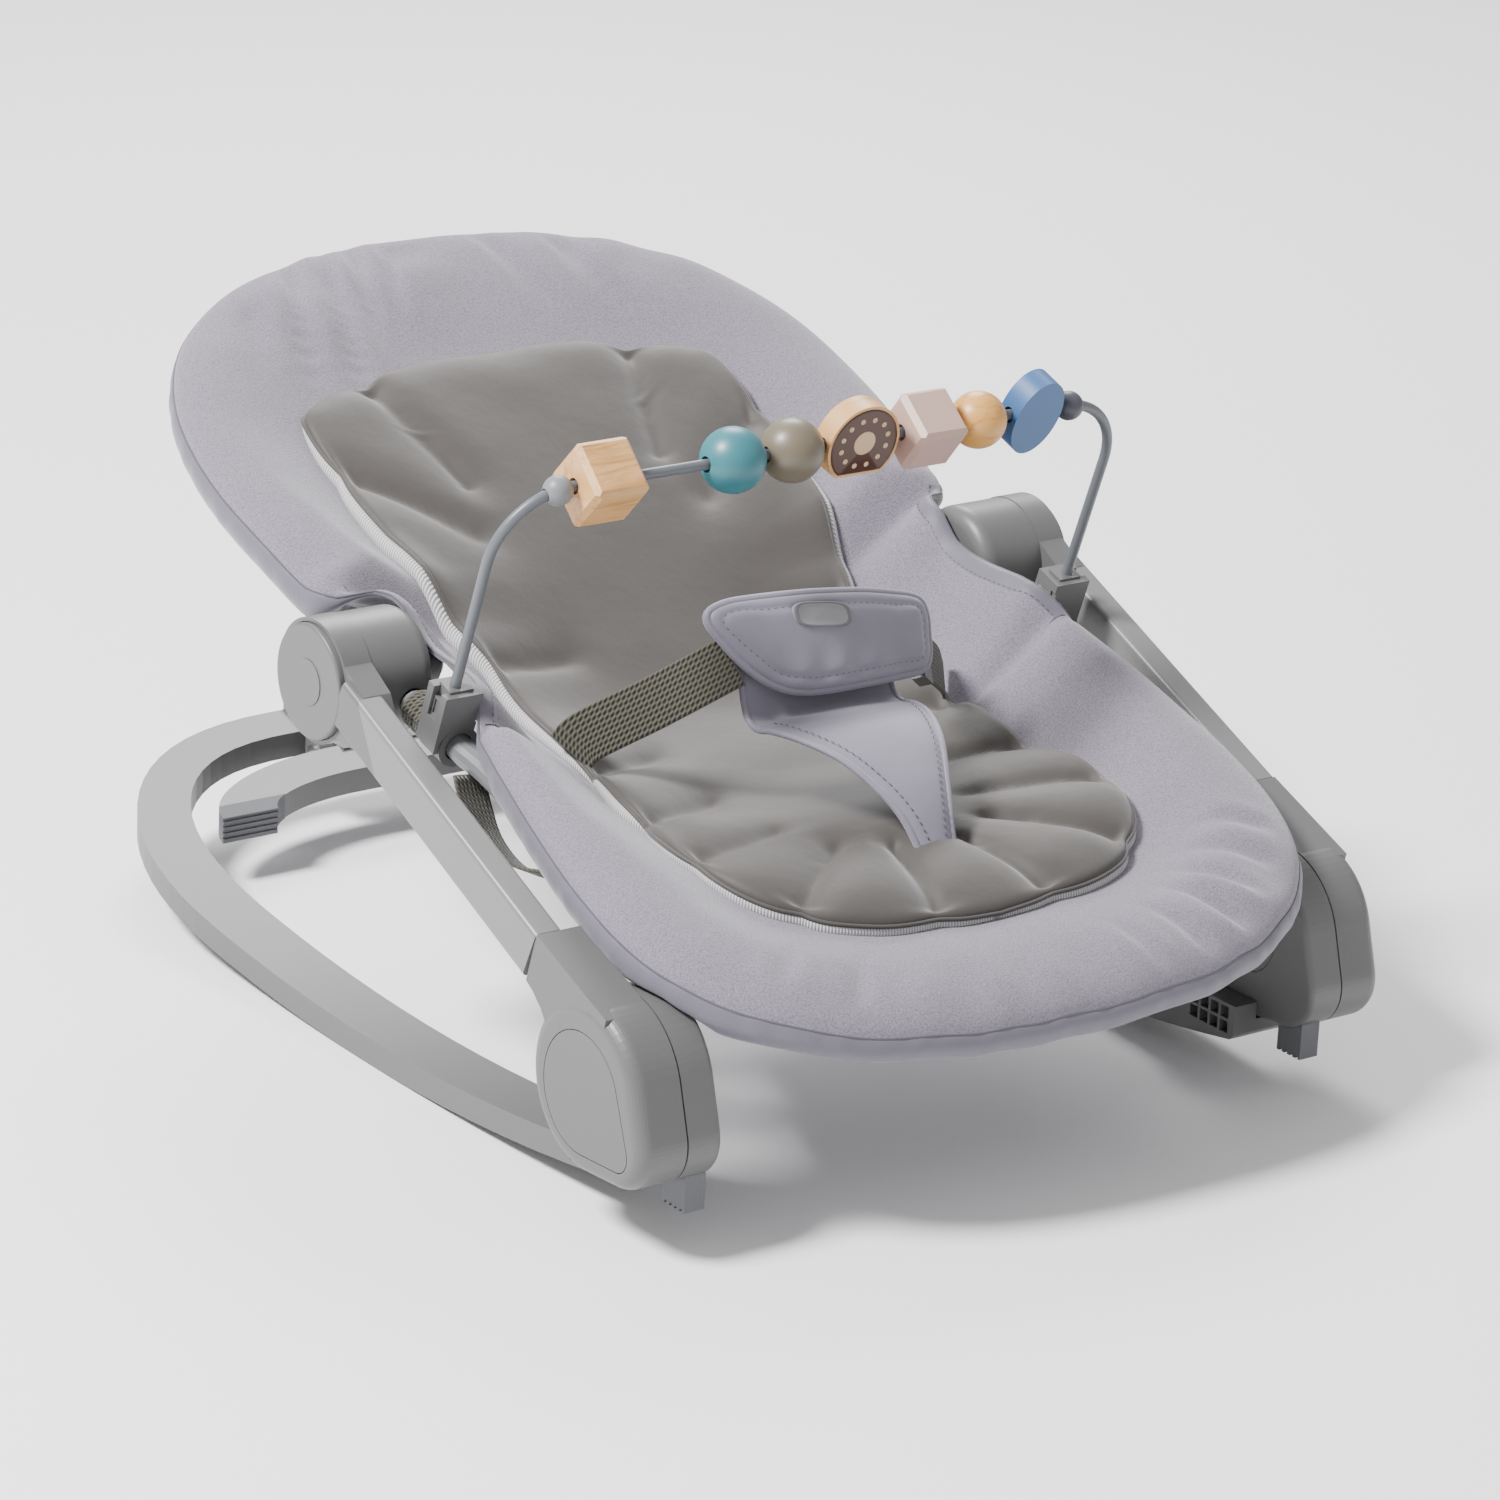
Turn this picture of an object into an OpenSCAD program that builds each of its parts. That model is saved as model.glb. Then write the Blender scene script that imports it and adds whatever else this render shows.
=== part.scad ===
// Baby bouncer seat: a rocking base with two hinged arms, a slung seat with a reclining back,
// a fold-out stabiliser and a removable toy bar.
// Millimetres, +Z up, front (foot end) towards -Y, origin under the middle of the seat on the floor.

/* [Base] */
// Radius of the rocker's curved underside
rocker_r = 1300; // [1200:10:1400]
// Thickness of the U-shaped rocker band
band_t = 14; // [12:1:16]
// Half of the rocker's width
base_half_w = 206; // [204:0.5:206]
// Distance of the rocker's rear edge from the origin
base_rear_y = 341; // [336:1:346]
// Radius of the stabiliser's hinge pin
pin_r = 3; // [2.5:0.25:3.5]

/* [Hubs and arms] */
// Radius of the large front hubs around their hinge
hub_r = 44.5; // [43:0.5:46]
// Half of the overall width, at the arms' outer faces
arm_out_x = 233; // [231:1:236]
// Thickness of an arm tube across the seat
arm_t = 16; // [14:1:18]
// Height of an arm tube
arm_h = 27; // [24:1:28]
// Radius of the upper hubs
ring_r = 32.5; // [31:0.5:34]
// Travel of a recline button
button_travel = 3.5; // [2:0.5:3.5]

/* [Seat] */
// Slope of the seat's rim, in degrees
seat_slope = 20; // [18:1:22]
// Slope of the back's rim, in degrees
back_slope = 25; // [23:1:27]
// Radius of the seat and back tubes
tube_r = 7; // [6:0.5:7.5]
// Deepest sag of the sling below its rim
sag_depth = 62; // [50:1:70]
// Thickness of the insert cushion
insert_t = 13; // [10:1:15]

/* [Toy bar] */
// Radius of the toy bar's wire
wire_r = 2.8; // [2.4:0.1:3]
// Height of the arch above the clips
arch_h = 118; // [110:1:124]
// Radius of the arch's corners
arch_r = 40; // [36:1:42]
// Radius of the holes in the beads
bead_bore_r = 4.2; // [4:0.1:4.6]

/* [Hidden] */
$fn = 64;

plastic = "#a6a6a5";
plastic_light = "#b4b4b2";
steel = "#c9ccd0";
rubber = "#77777a";
cover_cloth = "#b9b4be";
insert_cloth = "#7d7a77";
webbing_cloth = "#a09e91";

// Hinge axes, as [y, z]
fold_axis = [-229, 76];
recline_axis = [22.5, 204];
pin_axis = [309.5, 44];

// Front hubs
hub_in_x = 185;
hub_seam_x = 205;
hub_gap = 0.9;
hub_mid = fold_axis + [-1.5, 0];
hub_lobe = fold_axis + [-29, -19];
hub_lobe_r = hub_r - 21;
pivot_r = 8;
running = 0.06;
cap_r = 21;

// Arms: the slope of their middle line and where it starts and ends
arm_slope = 22.9;
arm_front = [-182.4, 127.3];
arm_rear = [-30, 191.5];
arm_in_x = arm_out_x - arm_t;
neck_tilt = 3;

// Upper hubs
ring_in_x = arm_out_x - 20;
ring_out_x = arm_out_x - 4;
drum_in_x = 175.3;
button_r = 30;
recess_x = arm_out_x - 14;
button_in_x = arm_out_x - 9;
stem_r = 5;
axle_r = 6;
plate_in_x = 160;
plate_out_x = 170.8;
seat_tube_x = 190;

// Rim of the sling
wing_y = -68;
wing_z = 194.5;
back_z0 = 199;
blend_y = 20;
seat_front_y = -336;
back_rear_y = 308;
split_y = 5;
rim_t = 3;
panel_t = 12;
cloth_gap = 0.4;
insert_gap = 2;

// Toy bar: the clips sit on the seat tube, and the arch stands square to the seat
clip_x = 193;
clip_at = [-42.6, 187.7];
arch_lean = 19;
arch_base = [-52, 215];
clip_to_arch = norm(arch_base - clip_at);
stopper_left_x = -162;
stopper_right_x = 157;

// --- small helpers ---------------------------------------------------------------------------

function lerp(a, b, t) = a + (b - a) * t;
function clamp01(t) = min(1, max(0, t));
function smooth(t) = let (u = clamp01(t)) u * u * (3 - 2 * u);
function rot2(p, a) = [p[0] * cos(a) - p[1] * sin(a), p[0] * sin(a) + p[1] * cos(a)];
function norm_v(v) = v / norm(v);

// Draws a child on the right side as made, or mirrored on the left
module side(s) {
    if (s > 0) children();
    else mirror([1, 0, 0]) children();
}

module both() {
    side(1) children();
    side(-1) children();
}

// Extrudes a [y, z] outline across the seat, from x0 to x1
module across(x0, x1) {
    translate([x0, 0, 0]) rotate([90, 0, 90]) linear_extrude(x1 - x0) children();
}

// Cylinder along X around the axis a = [y, z]
module rod(a, r, x0, x1) {
    translate([x0, a[0], a[1]]) rotate([0, 90, 0]) cylinder(r = r, h = x1 - x0);
}

// Rounded rectangle of true arcs, centred
module round_rect(w, h, r) {
    square([w - 2 * r, h], center = true);
    square([w, h - 2 * r], center = true);
    for (x = [-1, 1], y = [-1, 1])
        translate([x * (w / 2 - r), y * (h / 2 - r)]) circle(r, $fn = 32);
}

// Smooth curve through hand-chosen points
function spline_point(p, i, t) =
    let (n = len(p), a = p[max(0, i - 1)], b = p[i], c = p[min(n - 1, i + 1)],
         d = p[min(n - 1, i + 2)])
    0.5 * (2 * b + (c - a) * t + (2 * a - 5 * b + 4 * c - d) * t * t
        + (3 * b - a - 3 * c + d) * t * t * t);
function spline(p, steps) = concat(
    [for (i = [0 : len(p) - 2], k = [0 : steps - 1]) spline_point(p, i, k / steps)],
    [p[len(p) - 1]]);
function tangent(p, i) = norm_v(p[min(len(p) - 1, i + 1)] - p[max(0, i - 1)]);

// Closed skin over rings of equal length
module skin(rings) {
    n = len(rings[0]);
    m = len(rings);
    points = [for (ring = rings) for (p = ring) p];
    walls = [for (i = [0 : m - 2], k = [0 : n - 1])
        [i * n + k, i * n + (k + 1) % n, (i + 1) * n + (k + 1) % n, (i + 1) * n + k]];
    ends = [[for (k = [n - 1 : -1 : 0]) k], [for (k = [0 : n - 1]) (m - 1) * n + k]];
    polyhedron(points, concat(walls, ends), convexity = 6);
}

// Round tube of radius r along a smooth path
module tube_along(path, r, sides = 12) {
    skin([for (i = [0 : len(path) - 1])
        let (t = tangent(path, i), u = norm_v(cross(t, [0, 0, 1])), v = cross(u, t))
        [for (k = [0 : sides - 1])
            path[i] - r * (cos(360 * k / sides) * u - sin(360 * k / sides) * v)]]);
}

// Flat strap along a smooth path, w wide along the direction across and t thick
module strap_along(path, w, t, dir) {
    skin([for (i = [0 : len(path) - 1])
        let (f = tangent(path, i), n = norm_v(cross(dir, f)), d = cross(f, n))
        [path[i] - d * w / 2 - n * t / 2, path[i] + d * w / 2 - n * t / 2,
         path[i] + d * w / 2 + n * t / 2, path[i] - d * w / 2 + n * t / 2]]);
}

// --- base ------------------------------------------------------------------------------------

// Half-width of a U band's outline at y: straight, then a squared-off quarter round
function u_half(y, flat, y0, a, b, n) =
    y <= y0 ? flat + a : flat + a * pow(max(0, 1 - pow((y - y0) / b, n)), 1 / n);

// U outline, open to the front, from y_front back to y0 + b
module u_outline(y_front, flat, y0, a, b, n) {
    steps = 20;
    right = concat([[flat + a, y_front]],
        [for (i = [0 : steps]) let (y = y0 + b * sin(90 * i / steps))
            [u_half(y, flat, y0, a, b, n), y]]);
    polygon(concat(right, [for (i = [len(right) - 1 : -1 : 0]) [-right[i][0], right[i][1]]]));
}

// Part of the curved layer between two heights above the rocker's underside
module rocker_layer(low, high) {
    intersection() {
        translate([0, 0, rocker_r]) rotate([0, 90, 0]) difference() {
            cylinder(r = rocker_r - low, h = 600, center = true, $fn = 360);
            cylinder(r = rocker_r - high, h = 601, center = true, $fn = 360);
        }
        translate([0, 0, -10]) linear_extrude(100) children();
    }
}

module band_outline() {
    flat = 46;
    difference() {
        u_outline(-178, flat, 140, base_half_w - flat, base_rear_y - 140, 2.6);
        translate([0, -1]) u_outline(-200, flat, 150, 124, base_rear_y - 171, 2.8);
    }
}

// Shape of the rail's front end, as [y, z], below and behind the hub
module rail_end_outline() {
    polygon([[-178, 12.2], [-200, 15.4], [-220, 18.7], [-238, 22], [-241, 25], [-241, 41],
        [-186, 41], [-180, 36], [-178, 29.5]]);
}

module rail_end(s) side(s) {
    pocket = 6.4;
    pitch = 8;
    difference() {
        union() {
            across(170, hub_in_x - 0.3) rail_end_outline();
            difference() {
                across(170, base_half_w) rail_end_outline();
                across(160, 240) hub_outline(0.4);
            }
        }
        for (i = [0 : 3], k = [0 : 1])
            translate([169, -236 + pitch * i, 24.6 + pitch * k]) cube([6, pocket, pocket]);
        for (i = [0 : 3])
            translate([base_half_w - 7, -215 + pitch * i, 19.6 - 1.2 * i])
                cube([8, pocket, pocket]);
        rod([-194, 29], 3, 169, 173);
    }
}

module base_frame() {
    color(plastic) {
        rocker_layer(0, band_t) band_outline();
        rail_end(1);
        rail_end(-1);
    }
}

// Egg-shaped outline of a front hub, as [y, z], grown by a margin
module hub_outline(grow) hull() {
    translate(hub_mid) circle(r = hub_r + grow, $fn = 96);
    translate(hub_lobe) circle(r = hub_lobe_r + grow, $fn = 64);
}

// Egg-shaped shell of a front hub, w wide, with its face at the height w rounded by e
module hub_shell(w, e) {
    module disc(at, r) translate(at) rotate_extrude($fn = 64) {
        square([r - e, w]);
        square([r, w - e]);
        translate([r - e, w - e]) circle(r = e, $fn = 32);
    }
    rotate([90, 0, 90]) hull() {
        disc(hub_mid, hub_r);
        disc(hub_lobe, hub_lobe_r);
    }
}

module hub_inner(s) color(plastic) side(s) difference() {
    translate([hub_seam_x, 0, 0]) mirror([1, 0, 0]) hub_shell(hub_seam_x - hub_in_x, 3.5);
    rod(fold_axis, cap_r + 0.4, hub_in_x - 1, hub_in_x + 2.6);
    rod(fold_axis, 13, hub_in_x, hub_in_x + 7);
    rod(fold_axis, pivot_r + running, hub_in_x, hub_seam_x + 1);
}

module hub_inner_caps() color(plastic) both() difference() {
    rod(fold_axis, cap_r, hub_in_x + 0.1, hub_in_x + 2.5);
    rod(fold_axis, cap_r - 3, hub_in_x - 1, hub_in_x + 0.7);
}

// Ribbed rubber foot under each front hub
module front_feet() color(rubber) both() difference() {
    translate([188, -273, 19.4]) cube([12, 18, 36]);
    across(180, 210) hub_outline(0.1);
    for (i = [0 : 3])
        translate([187, -270.3 + 4.2 * i, 18.6]) rotate([45, 0, 0]) cube([14, 2, 2]);
}

module rail_screws() color(steel) both() difference() {
    rod([-194, 29], 2.9, 171.2, 173);
    rod([-194, 29], 1.3, 170, 172.2);
}

// Saddle on the rear crossbar with two lugs that carry the stabiliser's pin
module rear_bracket() color(plastic) difference() {
    union() {
        rocker_layer(-3, band_t + 3) translate([-46, 317.6]) square([92, 25.4]);
        both() {
            rod(pin_axis, 8, 36.5, 46);
            translate([36.5, pin_axis[0], pin_axis[1] - 8]) cube([9.5, 10, 16]);
        }
    }
    rocker_layer(0, band_t) translate([-100, 318.8]) square([200, 22.4]);
    rod(pin_axis, pin_r, -60, 60);
    both() translate([36, pin_axis[0] + 1, pin_axis[1] - 20]) cube([0.6, 8, 12]);
}

module stabiliser_pin() color(steel) {
    rod(pin_axis, pin_r, -45.5, 45.5);
    both() rod(pin_axis, pin_r + 1.5, 46.05, 47.5);
    both() rod(pin_axis, pin_r, 45.4, 46.1);
}

// Nested U that swings down about the pin to stop the rocking
module stabiliser_outline(y_front, y_end) {
    intersection() {
        difference() {
            u_outline(y_front, 36, 250, 104, 49.5, 2);
            translate([0, -0.1]) u_outline(y_front - 1, 36, 250, 69, 25, 2);
        }
        translate([-200, y_front]) square([400, y_end - y_front]);
    }
}

module stabiliser() color(plastic) difference() {
    union() {
        rocker_layer(0.5, band_t) stabiliser_outline(264, 310);
        rod(pin_axis, 7.4, -36, 36);
        translate([-36, 294, pin_axis[1] - 6]) cube([72, pin_axis[0] - 294, 11.5]);
    }
    rod(pin_axis, pin_r + running, -60, 60);
}

// Ribbed rubber ends of the stabiliser's legs
module stabiliser_tips() color(rubber) difference() {
    rocker_layer(0, band_t + 0.5) stabiliser_outline(252, 264);
    for (i = [0 : 3]) translate([-150, 251.2, 27 + 3.4 * i]) cube([300, 1.6, 1.5]);
}

// --- front hubs and arms -----------------------------------------------------------------------

// Outline of the neck between the front hub and the arm, as [y, z]
module neck_outline() {
    u = rot2([1, 0], arm_slope);
    v = rot2([0, 1], arm_slope);
    top = arm_front + v * arm_h / 2;
    low = arm_front - v * arm_h / 2 - u * neck_tilt;
    crest = hub_mid + v * (hub_r - 0.4);
    polygon([top, low, low - u * 7 - v, fold_axis + [36, 28], fold_axis + [20, 6],
        fold_axis + [-16, 30], crest]);
}

module hub_outer(s) color(plastic) side(s) difference() {
    union() {
        translate([hub_seam_x + hub_gap, 0, 0]) hub_shell(arm_out_x - hub_seam_x - hub_gap, 8);
        across(hub_seam_x + hub_gap, arm_out_x - 0.6) neck_outline();
    }
    across(arm_out_x - 1.2, arm_out_x + 1) cap_outline(0.5);
    rod(fold_axis, pivot_r, hub_seam_x, 224);
    latch_pocket();
}

// Egg-shaped outline of the flat cap on the front hub's outer face
module cap_outline(grow) {
    hull() {
        translate(fold_axis + [-1, -3]) circle(r = 31 + grow, $fn = 64);
        translate(fold_axis + [-32, -23]) circle(r = 9 + grow, $fn = 32);
    }
}

module hub_oval_caps() color(plastic) both()
    across(arm_out_x - 1.2, arm_out_x) cap_outline(0);

// Steel pivots: pressed into the outer shells, running in the inner ones
module front_pivots() color(steel) both() {
    rod(fold_axis, pivot_r, hub_in_x + 6.8, 224);
    rod(fold_axis, 12.5, hub_in_x + 3, hub_in_x + 6.8);
}

// Sprung latch blocks that lock the arms when they are up, in pockets of the outer shells
module latch_pocket() {
    across(hub_seam_x, hub_seam_x + 12)
        translate(fold_axis + [0, 26]) square([12.4, 16.4], center = true);
}

module fold_latches() color(steel) both()
    across(hub_seam_x + 1, hub_seam_x + 11.8)
        translate(fold_axis + [0, 26]) square([12, 16], center = true);

function arm_point(t) = lerp(arm_front, arm_rear, t);
arm_len = norm(arm_rear - arm_front);

// Rectangular arm tube with its upper end cut steeply where it enters the ring's moulding
module arm(s) color(plastic_light) side(s) difference() {
    translate([(arm_in_x + arm_out_x) / 2, arm_front[0], arm_front[1]]) rotate([arm_slope, 0, 0])
        rotate([-90, 0, 0]) difference() {
            linear_extrude(arm_len + 12) round_rect(arm_t, arm_h, 3);
            translate([0, 0, -1]) linear_extrude(arm_len + 14)
                round_rect(arm_t - 5, arm_h - 5, 1.5);
        }
    across(200, 240) ring_cut();
    across(200, 240) neck_cut();
}

// Everything behind the slanted joint between the arm and the upper moulding
module ring_cut() {
    polygon([[-16, 224], [-24.7, 208.3], [-44.5, 170.1], [-50, 158], [60, 158], [60, 224]]);
}

// Everything in front of the joint between the arm and the front hub's neck
module neck_cut() {
    u = rot2([1, 0], arm_slope);
    v = rot2([0, 1], arm_slope);
    k = neck_tilt / arm_h;
    top = arm_front + v * (arm_h / 2 + 6) + u * (0.3 + 6 * k);
    low = arm_front - v * (arm_h / 2 + 6) + u * (0.3 - neck_tilt - 6 * k);
    polygon([top, low, low - [40, 0], top - [40, 0]]);
}

// Ring moulding around the upper hub, with a short neck that the arm plugs into
module arm_ring(s) color(plastic) side(s) difference() {
    union() {
        rod(recline_axis, ring_r, ring_in_x, ring_out_x);
        intersection() {
            translate([(arm_in_x + arm_out_x) / 2, arm_front[0], arm_front[1]])
                rotate([arm_slope, 0, 0]) rotate([-90, 0, 0])
                linear_extrude(arm_len + 26) round_rect(arm_t, arm_h, 3);
            across(200, 240) ring_cut();
        }
        intersection() {
            across(ring_in_x, ring_out_x) polygon([recline_axis + [-28, 16],
                recline_axis + [-4, 32], recline_axis, recline_axis + [-20, -25], [-36, 180],
                [-28, 207]]);
            across(200, 240) ring_cut();
        }
    }
    rod(recline_axis, button_r + 0.4, recess_x, ring_out_x + 5);
    rod(recline_axis, stem_r + running, ring_in_x - 1, recess_x + 1);
}

// Fixed drum inside the ring, with a hole for the button's stem and a seat for the axle
module drum(s) color(plastic) side(s) difference() {
    translate([drum_in_x, recline_axis[0], recline_axis[1]]) rotate([90, 0, 90]) rotate_extrude() {
        w = ring_in_x - drum_in_x;
        r = ring_r - 0.5;
        square([r - 8, w]);
        translate([0, 8]) square([r, w - 8]);
        translate([r - 8, 8]) circle(r = 8, $fn = 48);
    }
    rod(recline_axis, axle_r, drum_in_x - 1, 196);
    rod(recline_axis, stem_r + running, 198, ring_in_x + 1);
    translate([seat_tube_x, recline_axis[0], recline_axis[1]]) rotate([193.8, 0, 0])
        rotate([-90, 0, 0]) translate([0, 0, 8]) cylinder(r = tube_r, h = 40);
}

// Steel axles: pressed into the drums, and the back plates turn on them
module recline_axles() color(steel) both() {
    rod(recline_axis, axle_r, plate_in_x - 0.4, 196);
    rod(recline_axis, axle_r + 3, plate_in_x - 3, plate_in_x - 0.4);
}

// Wave springs under the buttons, drawn at their pressed thickness
module button_springs() color(steel) both() difference() {
    rod(recline_axis, 17, recess_x, recess_x + 1.3);
    rod(recline_axis, 13, recess_x - 1, recess_x + 2);
}

module button(s) color(plastic) side(s) {
    face = arm_out_x - button_in_x;
    translate([button_in_x, recline_axis[0], recline_axis[1]]) rotate([90, 0, 90])
        rotate_extrude() {
            square([button_r, face - 2]);
            square([button_r - 1.5, face - 0.5]);
            translate([button_r - 1.5, face - 2]) circle(r = 1.5, $fn = 32);
            square([12, face]);
        }
    rod(recline_axis, stem_r, 204, button_in_x + 1);
}

// --- sling: rim, sag and panels ------------------------------------------------------------------

// Height of the rim at y: two straight slopes joined by a smooth stretch at the hips
function rim_z(y) =
    y < wing_y ? wing_z + (y - wing_y) * tan(seat_slope) :
    y > blend_y ? back_z0 + y * tan(back_slope) :
    let (h = blend_y - wing_y, t = (y - wing_y) / h,
         z1 = back_z0 + blend_y * tan(back_slope))
    wing_z * (2 * t * t * t - 3 * t * t + 1) + h * tan(seat_slope) * (t * t * t - 2 * t * t + t)
        + z1 * (3 * t * t - 2 * t * t * t) + h * tan(back_slope) * (t * t * t - t * t);

// Half-width of the sling at y: round ends, waist beside the drums, points at the wings
function seat_half(y) = let (y0 = -190, b = y0 - seat_front_y)
    y < y0 ? 206 * pow(max(0, 1 - pow((y0 - y) / b, 2.2)), 1 / 2.2) :
    y < wing_y ? lerp(206, 189, (y - y0) / (wing_y - y0)) : 189;
function back_half(y) = let (y0 = 130, b = back_rear_y - y0)
    y > y0 ? 209 * pow(max(0, 1 - pow((y - y0) / b, 2.4)), 1 / 2.4) :
    lerp(197, 209, smooth((y - 50) / 80));
function waist_half(y) =
    y < recline_axis[0] ? 156 + 13 * smooth((-8 - y) / 14) + 20 * smooth((-52 - y) / 18)
    : 156 + 41 * smooth((y - 58) / 16);
function sling_half(y) = y < wing_y ? seat_half(y) : y < 76 ? min(waist_half(y), back_half(y))
    : back_half(y);

// Depth of the sling's middle below its rim, which fades out at both ends
function sag(y) = let (c = -55, w = y < c ? 110 : 190)
    sag_depth * exp(-pow((y - c) / w, 2)) * smooth((y + 312) / 60) * smooth((284 - y) / 80);

// Half of the stretch of cloth that hangs between the tubes
function hung_half(y) = max(8, sling_half(y) - brim(y));
function brim(y) = lookup(y, [[-338, 20], [-300, 40], [-275, 38], [-250, 43], [-224, 48],
    [-200, 46], [-172, 32], [-135, 22], [-100, 17], [-72, 12], [-40, 3], [58, 3], [62, 8],
    [66, 21], [71, 35], [76, 42], [90, 41], [115, 35], [145, 28], [182, 25], [216, 25],
    [248, 26], [271, 34], [308, 40]]);
function sling_z(x, y) =
    rim_z(y) - sag(y) * (1 - pow(min(1, abs(x) / hung_half(y)), 2.6));

// Thickness of the cover: thin at the rim, where it wraps its tube, and padded inside
function cover_thick(x, y) =
    let (e = min(hung_half(y) - abs(x), y + 306, 272 - y))
    lerp(rim_t, panel_t, smooth((e - 14) / 30));

// Slab between two height functions, over the plan y0..y1 and +-half(y)
function row_ys(y0, y1, rows, end0, end1) = [for (i = [0 : rows])
    let (t = i / rows, u = end0 ? 1 - cos(90 * t) : end1 ? sin(90 * t) : t) lerp(y0, y1, u)];

module slab(top, bottom) {
    m = len(top);
    n = len(top[0]);
    points = concat([for (r = top) for (p = r) p], [for (r = bottom) for (p = r) p]);
    o = m * n;
    function id(i, j, k) = k * o + i * n + j;
    tops = [for (i = [0 : m - 2], j = [0 : n - 2])
        [id(i, j, 0), id(i + 1, j, 0), id(i + 1, j + 1, 0), id(i, j + 1, 0)]];
    lows = [for (i = [0 : m - 2], j = [0 : n - 2])
        [id(i, j, 1), id(i, j + 1, 1), id(i + 1, j + 1, 1), id(i + 1, j, 1)]];
    left = [for (i = [0 : m - 2]) [id(i, 0, 0), id(i, 0, 1), id(i + 1, 0, 1), id(i + 1, 0, 0)]];
    right = [for (i = [0 : m - 2])
        [id(i, n - 1, 0), id(i + 1, n - 1, 0), id(i + 1, n - 1, 1), id(i, n - 1, 1)]];
    front = [for (j = [0 : n - 2]) [id(0, j, 0), id(0, j + 1, 0), id(0, j + 1, 1), id(0, j, 1)]];
    rear = [for (j = [0 : n - 2])
        [id(m - 1, j, 0), id(m - 1, j, 1), id(m - 1, j + 1, 1), id(m - 1, j + 1, 0)]];
    polyhedron(points, concat(tops, lows, left, right, front, rear), convexity = 8);
}

function cover_rows(ys, cols, k) = [for (y = ys) let (w = max(20, sling_half(y)))
    [for (j = [0 : cols]) let (x = w * sin(90 * (2 * j / cols - 1)))
        [x, y, sling_z(x, y) - k * cover_thick(x, y)]]];

module cover_seat() color(cover_cloth) {
    ys = concat(row_ys(seat_front_y + 0.6, -190, 12, true, false),
        [for (i = [1 : 15]) lerp(-190, split_y, i / 15)]);
    slab(cover_rows(ys, 24, 0), cover_rows(ys, 24, 1));
}

module cover_back() color(cover_cloth) {
    ys = concat([for (i = [0 : 13]) lerp(split_y + cloth_gap, 130, i / 13)],
        row_ys(140, back_rear_y - 0.6, 12, false, true));
    slab(cover_rows(ys, 24, 0), cover_rows(ys, 24, 1));
}

// Insert cushion: lies on the cover and thins out towards its piped edge
insert_front_y = -250;
insert_rear_y = 214;
function insert_half(y) =
    y < -150 ? 128 * pow(max(0, 1 - pow((-150 - y) / (-150 - insert_front_y), 2.3)), 0.45) :
    y < 16 ? lerp(128, 114, smooth((y + 150) / 166)) :
    y < 130 ? lerp(114, 136, smooth((y - 16) / 114)) :
    136 * pow(max(0, 1 - pow((y - 130) / (insert_rear_y - 130), 2.6)), 0.4);
function insert_rows(ys, cols, k) = [for (y = ys) let (w = max(12, insert_half(y)))
    [for (j = [0 : cols]) let (x = w * sin(90 * (2 * j / cols - 1)), e = 1 - abs(x) / w)
        [x, y, sling_z(x, y) + insert_gap + k * lerp(6, insert_t, smooth(e * 3))]]];

module insert_seat() color(insert_cloth) {
    ys = concat(row_ys(insert_front_y, -150, 9, true, false),
        [for (i = [1 : 10]) lerp(-150, split_y, i / 10)]);
    slab(insert_rows(ys, 16, 1), insert_rows(ys, 16, 0));
}

module insert_back() color(insert_cloth) {
    ys = concat([for (i = [0 : 8]) lerp(split_y + cloth_gap, 130, i / 8)],
        row_ys(138, insert_rear_y, 9, false, true));
    slab(insert_rows(ys, 16, 1), insert_rows(ys, 16, 0));
}

// --- tubes ---------------------------------------------------------------------------------------

// Depth of the tubes' middle lines below the rim
tube_drop = rim_t + tube_r + 0.6;
function under_rim(x, y, extra = 0) = [x, y, rim_z(y) - tube_drop - extra];

// Right half of the seat tube, from the drum to the middle of the front
seat_tube_half = concat(
    [[190, -9, 195.8], [190, -26, 191.8], [190, -50, 186], [189.6, -60, 183.4], [188, -74, 179.8]],
    [for (p = [[187.5, -100], [187, -135], [182, -170], [171, -199], [167.4, -224],
        [166, -248], [156, -271], [126, -294], [86, -305.5], [42, -311.5], [0, -312.5]])
        under_rim(p[0], p[1])]);
back_tube_half = concat([[165.4, 42, 205.5]],
    [for (p = [[165.6, 66], [173, 90], [184, 115], [192, 145], [190, 182], [179, 216],
        [157, 248], [124, 271], [84, 284], [42, 289], [0, 290]]) under_rim(p[0], p[1], 3)]);
plate_end_y = recline_axis[0] + 24.4;

function mirrored(half) = concat(half,
    [for (i = [len(half) - 2 : -1 : 0]) [-half[i][0], half[i][1], half[i][2]]]);

module seat_tube() color(plastic) difference() {
    tube_along(spline(mirrored(seat_tube_half), 2), tube_r, 14);
    both() rod(recline_axis, ring_r - 0.5, 170, 215);
}

// The back tube's ends are cut off square against the plates
module back_tube() color(plastic) difference() {
    tube_along(spline(mirrored(back_tube_half), 3), tube_r, 14);
    translate([-300, 0, 150]) cube([600, plate_end_y + 0.3, 150]);
}

// Plates inside the cover that carry the back tube and turn on the drums' axles
module back_plate(s) color(plastic) side(s) difference() {
    union() {
        rod(recline_axis, 12, plate_in_x, plate_out_x);
        across(plate_in_x, plate_out_x) polygon([recline_axis + [0, -12],
            [plate_end_y, recline_axis[1] - 6], [plate_end_y, recline_axis[1] + 12],
            recline_axis + [0, 12]]);
    }
    rod(recline_axis, axle_r + running, plate_in_x - 1, plate_out_x + 1);
    rod(recline_axis + [17, 0], 2, plate_in_x - 1, plate_in_x + 4);
}

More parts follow.
